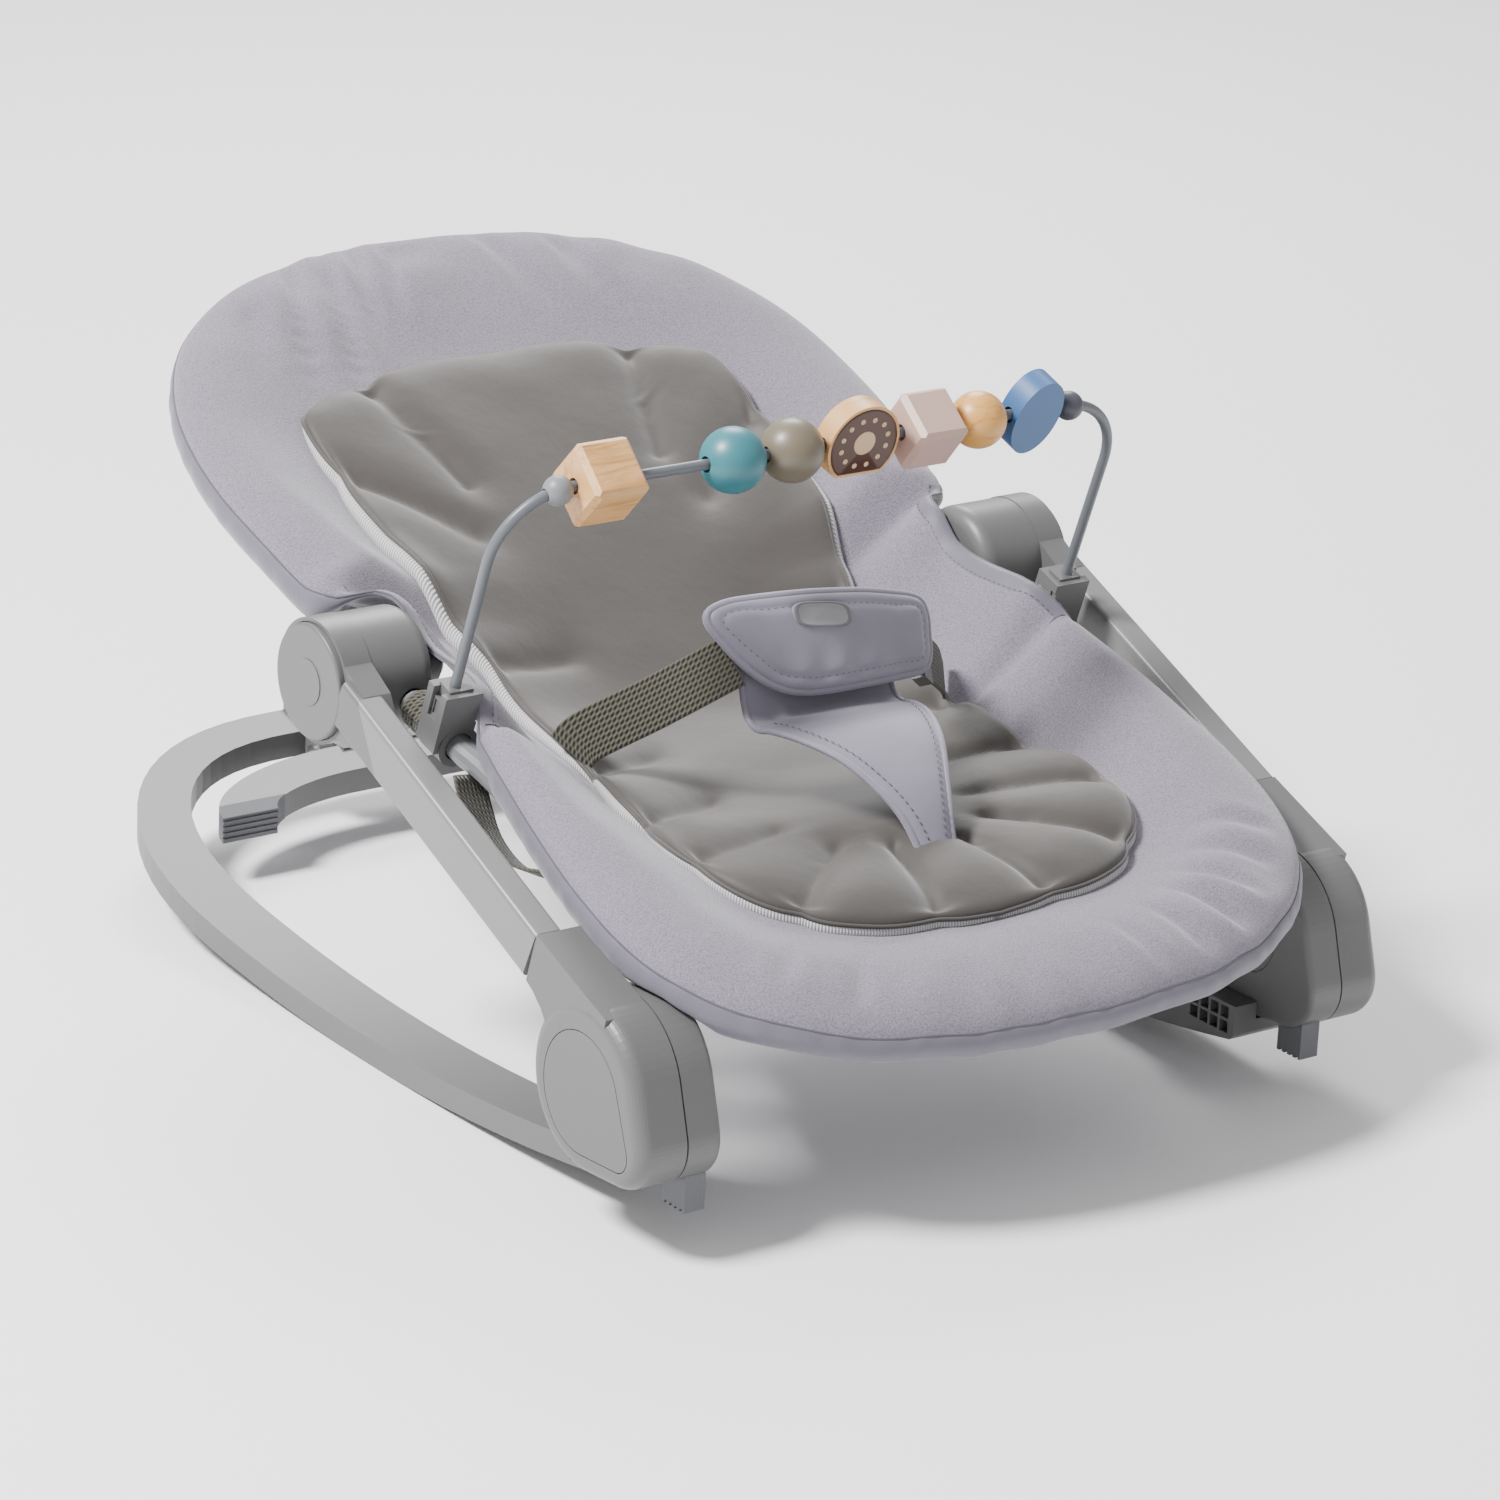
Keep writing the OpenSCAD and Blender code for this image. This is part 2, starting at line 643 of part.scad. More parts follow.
module back_screws() color(steel) both() {
    rod(recline_axis + [17, 0], 2, plate_in_x, plate_in_x + 3.9);
    rod(recline_axis + [17, 0], 3.6, plate_in_x - 1.8, plate_in_x);
}

// --- webbing and harness -------------------------------------------------------------------------

// Webbing wound round the seat tube between the drum and the clip
module tube_webbing(s) color(webbing_cloth) side(s)
    translate([190, -20.5, 193.1]) rotate([193.3, 0, 0]) rotate([-90, 0, 0]) difference() {
        translate([0, 0, -7]) cylinder(r = tube_r + 3.4, h = 17);
        translate([0, 0, -8]) cylinder(r = tube_r + 0.4, h = 19);
    }

// Slack webbing under the seat's edge, in front of each clip
module edge_webbing() color(webbing_cloth) both()
    strap_along(spline([[191, -68, 163], [193, -84, 150], [193, -104, 142], [189.5, -124, 141.5],
        [185, -139, 142]], 3), 22, 2.4, norm_v([1, 0, 0.5]));

// Padded tongue between the legs
crotch_path = [[0, -204, 153.5], [0, -196, 162], [0, -185, 171], [0, -170, 180], [0, -155, 186],
    [0, -137, 189.5], [0, -120, 189.3], [0, -107, 187], [0, -98.5, 190.5], [0, -94, 199],
    [0, -91.8, 207]];
function crotch_half(t) = lerp(11, 46, smooth(t * 1.15));
module crotch_strap() color(cover_cloth) {
    path = spline(crotch_path, 3);
    m = len(path) - 1;
    skin([for (i = [0 : m])
        let (w = crotch_half(i / m), f = tangent(path, i), n = norm_v(cross([1, 0, 0], f)))
        [for (p = [[-1, -3], [1, -3], [1, 0], [0.8, 3], [-0.8, 3], [-1, 0]])
            path[i] + [p[0] * w, 0, 0] + n * p[1]]]);
}

// Lap pad: its flap folds down over the top of the tongue
pad_low = [-107, 199];
pad_high = [-87, 243];
pad_t = 12;
pad_tilt = atan2(pad_high[1] - pad_low[1], pad_high[0] - pad_low[0]);
pad_len = norm(pad_high - pad_low);
module lap_pad() color(cover_cloth)
    translate([0, pad_low[0], pad_low[1]]) rotate([pad_tilt, 0, 0]) translate([0, 0, -pad_t / 2])
        linear_extrude(pad_t) polygon([[-44, -4], [44, -4], [55, 2], [62, 14], [67, pad_len - 3],
            [63, pad_len + 3], [-63, pad_len + 3], [-67, pad_len - 3], [-62, 14], [-55, 2]]);

// Blank sewn-on patch
module lap_patch() color("#8f8d92")
    translate([0, pad_low[0], pad_low[1]]) rotate([pad_tilt, 0, 0])
        translate([0, 38, pad_t / 2 + 0.1]) linear_extrude(1.4) round_rect(33, 14, 6);

strap_from = [58, -88.5, 216.5];
strap_to = [112, -52, 178];
strap_up = norm_v([0.35, 0.75, 0.9]);
module lap_strap(s) color(webbing_cloth) side(s)
    strap_along([strap_from, (strap_from + strap_to) / 2, strap_to], 27, 2, strap_up);

// Buckle frame that the right strap runs through, beside the pad's end
module strap_adjuster() color(plastic) {
    along = norm_v(strap_to - strap_from);
    out = norm_v(cross(strap_up, along));
    wide = cross(along, out);
    at = lerp(strap_from, strap_to, 0.42);
    multmatrix([[along[0], wide[0], out[0], at[0]], [along[1], wide[1], out[1], at[1]],
        [along[2], wide[2], out[2], at[2]]]) difference() {
        cube([17, 36, 7.4], center = true);
        cube([20, 29, 3.6], center = true);
        translate([0, 0, 3.2]) cube([7, 24, 5], center = true);
    }
}

// --- toy bar -------------------------------------------------------------------------------------

// Frame of a clip: x across, y along the tube, z square to it
module at_clip() translate([clip_x, clip_at[0], clip_at[1]]) rotate([arch_lean, 0, 0]) children();

module clip(s) color(plastic) side(s) at_clip() difference() {
    union() {
        translate([-11, -8.5, -2]) cube([22, 17, 34]);
        rotate([-5.2, 0, 0]) translate([-3, 0, 0]) rotate([90, 0, 0])
            cylinder(r = tube_r + 4.4, h = 19, center = true);
    }
    rotate([-5.2, 0, 0]) translate([-3, 0, 0]) rotate([90, 0, 0])
        cylinder(r = tube_r + 0.7, h = 60, center = true);
    translate([-7.2, -5.2, 13]) cube([14.4, 10.4, 30]);
    translate([6, -3.6, 15]) cube([6, 7.2, 20]);
    translate([-11.6, -8.9, 14]) cube([1.6, 4, 13]);
}

module clip_screws() color(steel) both() at_clip() difference() {
    translate([-12.6, 4.5, 22]) rotate([0, 90, 0]) cylinder(r = 2, h = 1.55);
    translate([-12.7, 4, 20]) cube([0.5, 1, 4]);
}

// Frame of the arch: x across, z up its lean
module at_arch() translate([0, arch_base[0], arch_base[1]]) rotate([arch_lean, 0, 0]) children();

bar_half = clip_x - arch_r + 1;
arch_side = arch_h - arch_r;
wire_end_z = -6;
module toy_wire() color("#8b8d90") at_arch() {
    translate([-bar_half, 0, arch_h]) rotate([0, 90, 0]) cylinder(r = wire_r, h = 2 * bar_half);
    both() {
        translate([bar_half, 0, arch_side]) rotate([90, 0, 0])
            rotate_extrude(angle = 90) translate([arch_r, 0]) circle(r = wire_r, $fn = 32);
        translate([bar_half + arch_r, 0, wire_end_z])
            cylinder(r = wire_r, h = arch_side - wire_end_z);
    }
}

module toy_plugs() color(plastic) both() {
    at_clip() difference() {
        union() {
            translate([-7, -5, 13.2]) cube([14, 10, 20]);
            translate([7, -3.4, 15.2]) cube([2.4, 6.8, 11.6]);
        }
        translate([bar_half + arch_r - clip_x, 0, clip_to_arch + wire_end_z - 0.2])
            cylinder(r = wire_r + 0.1, h = 20);
        translate([8.6, -2.2, 16.6]) cube([2, 4.4, 8.8]);
    }
}

// Ball on the bar, turned from a half outline so that its bore is exact
module bored_ball(r, bore) rotate([0, 90, 0]) rotate_extrude() difference() {
    intersection() {
        circle(r = r, $fn = 96);
        translate([0, -r - 1]) square([r + 1, 2 * r + 2]);
    }
    translate([-1, -r - 1]) square([bore + 1, 2 * r + 2]);
}

// Balls pressed onto the bar's bends, which keep the beads on
module toy_stoppers() color("#6f7279")
    for (x = [stopper_left_x, stopper_right_x])
        at_bar(x) translate([0, 0, -0.38]) bored_ball(7.8, wire_r + 0.5);

// Angle by which the bar has turned down at distance x from its middle
function bar_turn(x) = abs(x) <= bar_half ? 0 : asin((abs(x) - bar_half) / arch_r);
function bar_drop(x) = arch_r * (1 - cos(bar_turn(x)));

// Frame on the bar at x: x along the bar
module at_bar(x) at_arch() translate([x, 0, arch_h - bar_drop(x)])
    rotate([0, sign(x) * bar_turn(x), 0]) children();

module bead_bore() rotate([0, 90, 0]) cylinder(r = bead_bore_r, h = 80, center = true);
module bead_ball(x, r) at_bar(x) bored_ball(r, bead_bore_r);

// Cube with bevelled edges
module bead_cube(x, w, tilt) at_bar(x) difference() {
    d = w * sqrt(2) - 4;
    rotate([tilt, 0, 0]) intersection() {
        cube(w, center = true);
        rotate([45, 0, 0]) cube([w + 1, d, d], center = true);
        rotate([0, 45, 0]) cube([d, w + 1, d], center = true);
        rotate([0, 0, 45]) cube([d, d, w + 1], center = true);
    }
    bead_bore();
}

module bead_cube_wood() color("#dfba8b") bead_cube(-137, 32, 25);
module bead_ball_teal() color("#79babf") bead_ball(-57.2, 17);
module bead_ball_greige() color("#bfb6a6") bead_ball(-20.8, 16.6);
module bead_cube_pink() color("#dcc4ba") bead_cube(62.6, 30, 20);
module bead_ball_wood() color("#e3c08c") bead_ball(97.4, 15);

// Flat-bottomed disc, bored across its width
module bead_disc_picture() color("#e2c18f") at_bar(19.9) rotate([-6, 0, 0]) difference() {
    rotate([90, 0, 0]) difference() {
        cylinder(r = 22, h = 12.5, center = true, $fn = 96);
        translate([-30, -47, -20]) cube([60, 30, 40]);
    }
    bead_bore();
}

// Upright oval slice, bored across its short width
module bead_disc_blue() color("#6796c6") at_bar(131.5) difference() {
    rotate([0, 12, 0]) rotate([90, 0, 0]) linear_extrude(14, center = true)
        scale([0.67, 1]) circle(r = 21.6, $fn = 96);
    bead_bore();
}

// --- what is drawn -------------------------------------------------------------------------------

base_frame();
hub_inner(-1);  // hub_inner_left
hub_inner(1);  // hub_inner_right
hub_inner_caps();
front_feet();
rail_screws();
rear_bracket();
stabiliser_pin();
stabiliser();
stabiliser_tips();
hub_outer(-1);  // hub_outer_left
hub_outer(1);  // hub_outer_right
hub_oval_caps();
front_pivots();
fold_latches();
arm(-1);  // arm_left
arm(1);  // arm_right
arm_ring(-1);  // arm_ring_left
arm_ring(1);  // arm_ring_right
drum(-1);  // drum_left
drum(1);  // drum_right
recline_axles();
button_springs();
button(-1);  // button_left
button(1);  // button_right
seat_tube();
tube_webbing(-1);  // tube_webbing_left
tube_webbing(1);  // tube_webbing_right
edge_webbing();
clip(-1);  // clip_left
clip(1);  // clip_right
clip_screws();
cover_seat();
insert_seat();
crotch_strap();
lap_pad();
lap_patch();
lap_strap(-1);  // lap_strap_left
lap_strap(1);  // lap_strap_right
strap_adjuster();
back_plate(-1);  // back_plate_left
back_plate(1);  // back_plate_right
back_tube();
cover_back();
insert_back();
back_screws();
toy_wire();
toy_plugs();
toy_stoppers();
bead_cube_wood();
bead_ball_teal();
bead_ball_greige();
bead_disc_picture();
bead_cube_pink();
bead_ball_wood();
bead_disc_blue();
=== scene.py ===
"""Baby bouncer seat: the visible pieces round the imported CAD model.

Shapes are worked out in millimetres in the CAD's frame and become metres in make_object. +X is the
right side in the photograph, -Y the foot end and +Z up. Nothing here is random.
"""

import math

import bmesh
import bpy
import numpy as np
from mathutils import Matrix, Vector


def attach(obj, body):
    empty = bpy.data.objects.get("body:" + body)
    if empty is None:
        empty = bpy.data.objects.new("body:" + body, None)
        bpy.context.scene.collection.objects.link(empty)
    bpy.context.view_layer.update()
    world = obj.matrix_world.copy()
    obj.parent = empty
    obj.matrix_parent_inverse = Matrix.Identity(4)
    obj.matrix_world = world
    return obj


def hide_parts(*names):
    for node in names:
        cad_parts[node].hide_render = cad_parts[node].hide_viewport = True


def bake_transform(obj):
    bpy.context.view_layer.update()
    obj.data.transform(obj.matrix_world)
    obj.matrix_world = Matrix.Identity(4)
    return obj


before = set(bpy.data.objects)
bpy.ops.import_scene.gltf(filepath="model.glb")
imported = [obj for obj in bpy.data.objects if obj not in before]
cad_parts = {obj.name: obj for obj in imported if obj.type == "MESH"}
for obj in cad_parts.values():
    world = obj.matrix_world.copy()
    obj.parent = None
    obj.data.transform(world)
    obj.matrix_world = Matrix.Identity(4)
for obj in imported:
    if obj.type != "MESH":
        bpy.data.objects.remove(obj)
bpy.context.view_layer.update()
MM = 0.001


# --- camera and light --------------------------------------------------------------------------

# The camera's place and axes, solved for the photograph's viewing angle.
CAMERA_AT = (-1.762, -2.4002, 1.193)
CAMERA_RIGHT = (0.81015, -0.58441, 0.04597)
CAMERA_UP = (0.16075, 0.29689, 0.94128)
CAMERA_BACK = (-0.56375, -0.75519, 0.33448)
CAMERA_LENS, SENSOR_WIDTH = 144.48, 36.0
WORLD_STRENGTH = 0.68
LIGHTS = {
    # name: place, target, size, power
    "key": ((-1.9, 0.3, 2.5), (0, 0, 0.1), 0.8, 235),
    "fill": ((1.9, -1.6, 1.6), (0, 0, 0.15), 1.8, 4),
    "back": ((1.4, 2.0, 2.2), (0, 0, 0.15), 1.4, 80),
}


def make_camera():
    data = bpy.data.cameras.new("camera")
    data.sensor_width = SENSOR_WIDTH
    data.lens = CAMERA_LENS
    cam = bpy.data.objects.new("camera", data)
    bpy.context.scene.collection.objects.link(cam)
    turn = Matrix((CAMERA_RIGHT, CAMERA_UP, CAMERA_BACK)).transposed()
    cam.matrix_world = Matrix.Translation(CAMERA_AT) @ turn.to_4x4()
    bpy.context.scene.camera = cam


def area_light(name, at, target, size, power):
    data = bpy.data.lights.new(name, "AREA")
    data.shape = "DISK"
    data.size = size
    data.energy = power
    lamp = bpy.data.objects.new(name, data)
    bpy.context.scene.collection.objects.link(lamp)
    lamp.location = at
    lamp.rotation_mode = "QUATERNION"
    lamp.rotation_quaternion = (Vector(target) - Vector(at)).to_track_quat("-Z", "Y")


def make_lights():
    world = bpy.data.worlds.new("studio")
    bpy.context.scene.world = world
    world.use_nodes = True
    background = world.node_tree.nodes["Background"]
    background.inputs["Color"].default_value = (1.0, 1.0, 1.0, 1.0)
    background.inputs["Strength"].default_value = WORLD_STRENGTH
    for name, (at, target, size, power) in LIGHTS.items():
        area_light(name, at, target, size, power)


# --- materials ---------------------------------------------------------------------------------

COAT_ROUGHNESS, SHEEN_ROUGHNESS = 0.25, 0.5
PLASTIC_GRAIN = 900


def linear(code):
    """Linear RGBA of a display colour such as "#8a8a8c"."""
    parts = [int(code[i : i + 2], 16) / 255 for i in (1, 3, 5)]
    rgb = [c / 12.92 if c <= 0.04045 else ((c + 0.055) / 1.055) ** 2.4 for c in parts]
    return (*rgb, 1.0)


def base_material(name, colour, roughness, sheen=0.0, coat=0.0, metallic=0.0, specular=0.5):
    mat = bpy.data.materials.new(name)
    mat.use_nodes = True
    shader = mat.node_tree.nodes["Principled BSDF"]
    shader.inputs["Base Color"].default_value = linear(colour)
    shader.inputs["Roughness"].default_value = roughness
    shader.inputs["Metallic"].default_value = metallic
    shader.inputs["Specular IOR Level"].default_value = specular
    shader.inputs["Coat Weight"].default_value = coat
    shader.inputs["Coat Roughness"].default_value = COAT_ROUGHNESS
    shader.inputs["Sheen Weight"].default_value = sheen
    shader.inputs["Sheen Roughness"].default_value = SHEEN_ROUGHNESS
    return mat, mat.node_tree, shader


def object_coords(tree, scale=(1, 1, 1), rotation=(0, 0, 0)):
    coords = tree.nodes.new("ShaderNodeTexCoord")
    mapping = tree.nodes.new("ShaderNodeMapping")
    mapping.inputs["Scale"].default_value = scale
    mapping.inputs["Rotation"].default_value = rotation
    tree.links.new(coords.outputs["Object"], mapping.inputs["Vector"])
    return mapping.outputs["Vector"]


def noise(tree, vector, scale, detail=3.0, rough=0.6, distortion=0.0):
    node = tree.nodes.new("ShaderNodeTexNoise")
    node.inputs["Scale"].default_value = scale
    node.inputs["Detail"].default_value = detail
    node.inputs["Roughness"].default_value = rough
    node.inputs["Distortion"].default_value = distortion
    tree.links.new(vector, node.inputs["Vector"])
    return node.outputs["Fac"]


def bump(tree, shader, height, strength, distance, chain=None):
    """Bump on the shader, on top of the one in chain."""
    node = tree.nodes.new("ShaderNodeBump")
    node.inputs["Strength"].default_value = strength
    node.inputs["Distance"].default_value = distance
    tree.links.new(height, node.inputs["Height"])
    if chain is not None:
        tree.links.new(chain, node.inputs["Normal"])
    tree.links.new(node.outputs["Normal"], shader.inputs["Normal"])
    return node.outputs["Normal"]


def ramp(tree, value, stops):
    """Colour ramp through (position, colour) stops."""
    node = tree.nodes.new("ShaderNodeValToRGB")
    elements = node.color_ramp.elements
    elements[0].position, elements[0].color = stops[0][0], linear(stops[0][1])
    elements[1].position, elements[1].color = stops[-1][0], linear(stops[-1][1])
    for position, colour in stops[1:-1]:
        elements.new(position).color = linear(colour)
    tree.links.new(value, node.inputs["Fac"])
    return node.outputs["Color"]


def moulded_grain(tree, shader, strength):
    bump(tree, shader, noise(tree, object_coords(tree), PLASTIC_GRAIN, 2, 0.5), strength, 0.0004)


def plastic(name, colour, roughness, grain=0.10):
    mat, tree, shader = base_material(name, colour, roughness)
    moulded_grain(tree, shader, grain)
    return mat


def fleece(name, colour, low):
    """Fine grained soft cloth."""
    mat, tree, shader = base_material(name, colour, 0.95, sheen=0.35, specular=0.15)
    vector = object_coords(tree)
    grain = noise(tree, vector, 1100, 2, 0.7)
    soft = noise(tree, vector, 26, 3, 0.6)
    tree.links.new(ramp(tree, grain, [(0.3, low), (0.62, colour)]), shader.inputs["Base Color"])
    first = bump(tree, shader, soft, 0.25, 0.002)
    bump(tree, shader, grain, 0.6, 0.0009, first)
    return mat


def satin(name, colour, roughness, weave):
    """Smooth closely woven cloth."""
    mat, tree, shader = base_material(name, colour, roughness, sheen=0.3, specular=0.3)
    vector = object_coords(tree)
    wave = tree.nodes.new("ShaderNodeTexWave")
    wave.inputs["Scale"].default_value = 420
    wave.inputs["Distortion"].default_value = 1.5
    tree.links.new(vector, wave.inputs["Vector"])
    soft = noise(tree, vector, 30, 4, 0.55)
    first = bump(tree, shader, soft, 0.35, 0.0025)
    bump(tree, shader, wave.outputs["Fac"], weave, 0.0003, first)
    return mat


def math_node(tree, operation, *values):
    node = tree.nodes.new("ShaderNodeMath")
    node.operation = operation
    for k, value in enumerate(values):
        if isinstance(value, (int, float)):
            node.inputs[k].default_value = value
        else:
            tree.links.new(value, node.inputs[k])
    return node.outputs[0]


def weave_place(tree):
    """Distances along and across a strap, from the attribute that set_weave writes."""
    place = tree.nodes.new("ShaderNodeAttribute")
    place.attribute_name = "weave"
    parts = tree.nodes.new("ShaderNodeSeparateXYZ")
    tree.links.new(place.outputs["Vector"], parts.inputs[0])
    return parts.outputs[0], parts.outputs[1]


def webbing(name, colour, dark, pitch):
    """Woven strap: staggered short floats, laid out along the strap itself."""
    mat, tree, shader = base_material(name, colour, 0.85, sheen=0.2, specular=0.2)
    run, reach = weave_place(tree)
    along = math_node(tree, "MULTIPLY", run, 2 * math.pi / pitch)
    across = math_node(tree, "MULTIPLY", reach, 2 * math.pi / (pitch * 0.9))
    half = math_node(tree, "MULTIPLY", along, 0.5)
    slant = math_node(tree, "ADD", across, half)
    waves = [math_node(tree, "SINE", wave) for wave in (slant, half)]
    ribs = math_node(tree, "MULTIPLY", *waves)
    level = math_node(tree, "MULTIPLY_ADD", ribs, 0.5, 0.5)
    tree.links.new(ramp(tree, level, [(0.18, dark), (0.62, colour)]), shader.inputs["Base Color"])
    bump(tree, shader, level, 0.8, 0.0008)
    return mat


def wood(name, light, dark, rotation=(0, 0, 0)):
    mat, tree, shader = base_material(name, light, 0.42, coat=0.12)
    vector = object_coords(tree, (1, 1, 1), rotation)
    stretch = object_coords(tree, (14, 130, 130), rotation)
    rings = noise(tree, stretch, 1.6, 6, 0.62, 0.8)
    broad = math_node(tree, "MULTIPLY", noise(tree, vector, 40, 2, 0.5), 0.25)
    figure = math_node(tree, "MULTIPLY_ADD", rings, 0.75, broad)
    colour = ramp(tree, figure, [(0.34, dark), (0.5, light), (0.68, light)])
    tree.links.new(colour, shader.inputs["Base Color"])
    bump(tree, shader, rings, 0.12, 0.0004)
    return mat


def paint(name, colour):
    """Satin paint over wood, with a trace of the grain."""
    mat, tree, shader = base_material(name, colour, 0.42, coat=0.1)
    grain = noise(tree, object_coords(tree, (30, 160, 160)), 2.0, 4, 0.6)
    bump(tree, shader, grain, 0.06, 0.0004)
    return mat


def grey_with_painted_shade(name, left, right):
    """Satin plastic: one grey on the object's left side, and on its right a second grey that is
    painted shade.
    """
    mat, tree, shader = base_material(name, left, 0.45)
    parts = tree.nodes.new("ShaderNodeSeparateXYZ")
    tree.links.new(object_coords(tree), parts.inputs[0])
    # Points right of the middle (x > 0) take the second grey, which is painted shade.
    side = math_node(tree, "GREATER_THAN", parts.outputs[0], 0.0)
    tree.links.new(ramp(tree, side, [(0.0, left), (1.0, right)]), shader.inputs["Base Color"])
    moulded_grain(tree, shader, 0.05)
    return mat


def ribbed(name, colour, dark, pitch):
    """Knitted edge strip with fine ribs across it."""
    mat, tree, shader = base_material(name, colour, 0.9, sheen=0.2, specular=0.2)
    along = math_node(tree, "MULTIPLY", weave_place(tree)[0], 2 * math.pi / pitch)
    level = math_node(tree, "MULTIPLY_ADD", math_node(tree, "SINE", along), 0.5, 0.5)
    tree.links.new(ramp(tree, level, [(0.1, dark), (0.6, colour)]), shader.inputs["Base Color"])
    bump(tree, shader, level, 0.7, 0.0006)
    return mat


GREY = plastic("frame_grey", "#5b5b5b", 0.42)
GREY_LIGHT = plastic("arm_grey", "#717171", 0.34, 0.05)
TUBE = plastic("tube_grey", "#6a6b6d", 0.38, 0.05)
RUBBER = plastic("rubber_grey", "#5e5f62", 0.75, 0.2)
STEEL, _, _ = base_material("steel", "#c4c6c8", 0.32, metallic=1.0)
WIRE = plastic("wire_grey", "#5e6166", 0.4, 0.04)
# The right stopper's darker grey is painted shade on the same plastic as the left one.
STOPPER_PAINTED_SHADE = grey_with_painted_shade("stopper_grey_painted_shade", "#75787b", "#42444b")
FLEECE = fleece("cover_cloth", "#86808b", "#67616d")
SATIN = satin("cover_satin", "#64606b", 0.5, 0.12)
PAD_SATIN = satin("pad_satin", "#7b7784", 0.5, 0.12)
INSERT = satin("insert_satin", "#433f3c", 0.58, 0.1)
RIB = ribbed("ribbed_edge", "#c6c6c8", "#98989b", 0.0016)
THREAD = satin("thread", "#4e4b55", 0.8, 0.1)
STITCH = satin("stitch_thread", "#57535e", 0.8, 0.1)
WEBBING = webbing("webbing", "#535147", "#23211c", 0.0030)
PATCH = satin("patch", "#838286", 0.6, 0.3)
PATCH_RIM = satin("patch_rim", "#656469", 0.6, 0.2)
WOOD = wood("pale_wood", "#cf9f66", "#a9753f")
WOOD_BALL = wood("pale_wood_ball", "#d29c52", "#b27a3b", (0.3, 0.2, 0.5))
TEAL = paint("teal", "#306f78")
GREIGE = paint("greige", "#696050")
PINK = paint("pink", "#b8998d")
BLUE = paint("blue", "#325a8a")
BROWN = paint("picture_brown", "#482a1b")
CREAM = paint("picture_cream", "#c9aa85")


def paint_node(material, *names):
    for name in names:
        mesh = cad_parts[name].data
        mesh.materials.clear()
        mesh.materials.append(material)


def paint_nodes():
    """Materials of the CAD nodes that stay in view."""
    paint_node(GREY, "base_frame", "hub_inner_caps", "rear_bracket", "stabiliser", "hub_oval_caps")
    for side in ("left", "right"):
        paint_node(GREY, "hub_inner_" + side, "hub_outer_" + side, "arm_ring_" + side)
        paint_node(GREY, "drum_" + side, "button_" + side, "clip_" + side, "back_plate_" + side)
        paint_node(GREY_LIGHT, "arm_" + side)
    paint_node(RUBBER, "front_feet", "stabiliser_tips")
    paint_node(STEEL, "rail_screws", "stabiliser_pin", "front_pivots", "fold_latches")
    paint_node(STEEL, "recline_axles", "button_springs", "clip_screws", "back_screws")
    paint_node(TUBE, "seat_tube", "back_tube")
    paint_node(GREY, "strap_adjuster", "toy_plugs")
    paint_node(WIRE, "toy_wire")
    paint_node(STOPPER_PAINTED_SHADE, "toy_stoppers")
    paint_node(WOOD, "bead_cube_wood", "bead_disc_picture")
    paint_node(WOOD_BALL, "bead_ball_wood")
    paint_node(TEAL, "bead_ball_teal")
    paint_node(GREIGE, "bead_ball_greige")
    paint_node(PINK, "bead_cube_pink")
    paint_node(BLUE, "bead_disc_blue")


# --- mesh helpers ------------------------------------------------------------------------------

CURVE_STEPS = 24  # fine steps between two given points of a curve
WELD = 0.00002


def make_object(name, points, faces, materials, smooth=True):
    """Object from points in millimetres, with one or more materials."""
    mesh = bpy.data.meshes.new(name)
    mesh.from_pydata([tuple(float(c) * MM for c in p) for p in points], [], faces)
    for material in materials:
        mesh.materials.append(material)
    mesh.update()
    obj = bpy.data.objects.new(name, mesh)
    bpy.context.scene.collection.objects.link(obj)
    if smooth:
        mesh.polygons.foreach_set("use_smooth", [True] * len(mesh.polygons))
    return obj


def loops_to_faces(rows, cols, closed_rows=False):
    """Quads of a rows by cols grid whose columns wrap round, and its rows too if closed_rows."""
    faces = []
    last = rows if closed_rows else rows - 1
    for i in range(last):
        a, b = i * cols, ((i + 1) % rows) * cols
        for j in range(cols):
            k = (j + 1) % cols
            faces.append((a + j, a + k, b + k, b + j))
    return faces


def end_caps(rows, cols):
    """The two faces that close the first and last row of such a grid."""
    return [tuple(range(cols))[::-1], tuple((rows - 1) * cols + k for k in range(cols))]


def ease(value, start, end):
    """0 up to start and 1 from end on, with a smooth change between them."""
    t = np.clip((value - start) / (end - start), 0, 1)
    return t * t * (3 - 2 * t)


def bell(t):
    """1 at 0, falling off evenly on both sides."""
    return np.exp(-(t**2))


def quarter_round(t):
    """Rises from 0 at t = 0 to 1 at t = 1, as a quarter of a circle does."""
    return np.sqrt(np.clip(1 - (1 - np.clip(t, 0, 1)) ** 2, 0, 1))


def unit(v):
    v = np.array(v, float)
    return v / np.linalg.norm(v, axis=-1, keepdims=True)


def run_along(points):
    """Distance travelled at each point of a path."""
    return np.concatenate([[0], np.cumsum(np.linalg.norm(np.diff(points, axis=0), axis=1))])


def full_turn(count):
    """Evenly spaced angles round a circle."""
    return np.linspace(0, 2 * np.pi, count, endpoint=False)


def plan_normals(outline):
    """Outward normals of a closed plan outline that runs anticlockwise."""
    t = np.roll(outline, -1, 0) - np.roll(outline, 1, 0)
    return unit(np.stack([t[:, 1], -t[:, 0]], 1))


def in_plan(plan, z):
    """Points of a plan outline at heights z."""
    return np.column_stack([plan, z])


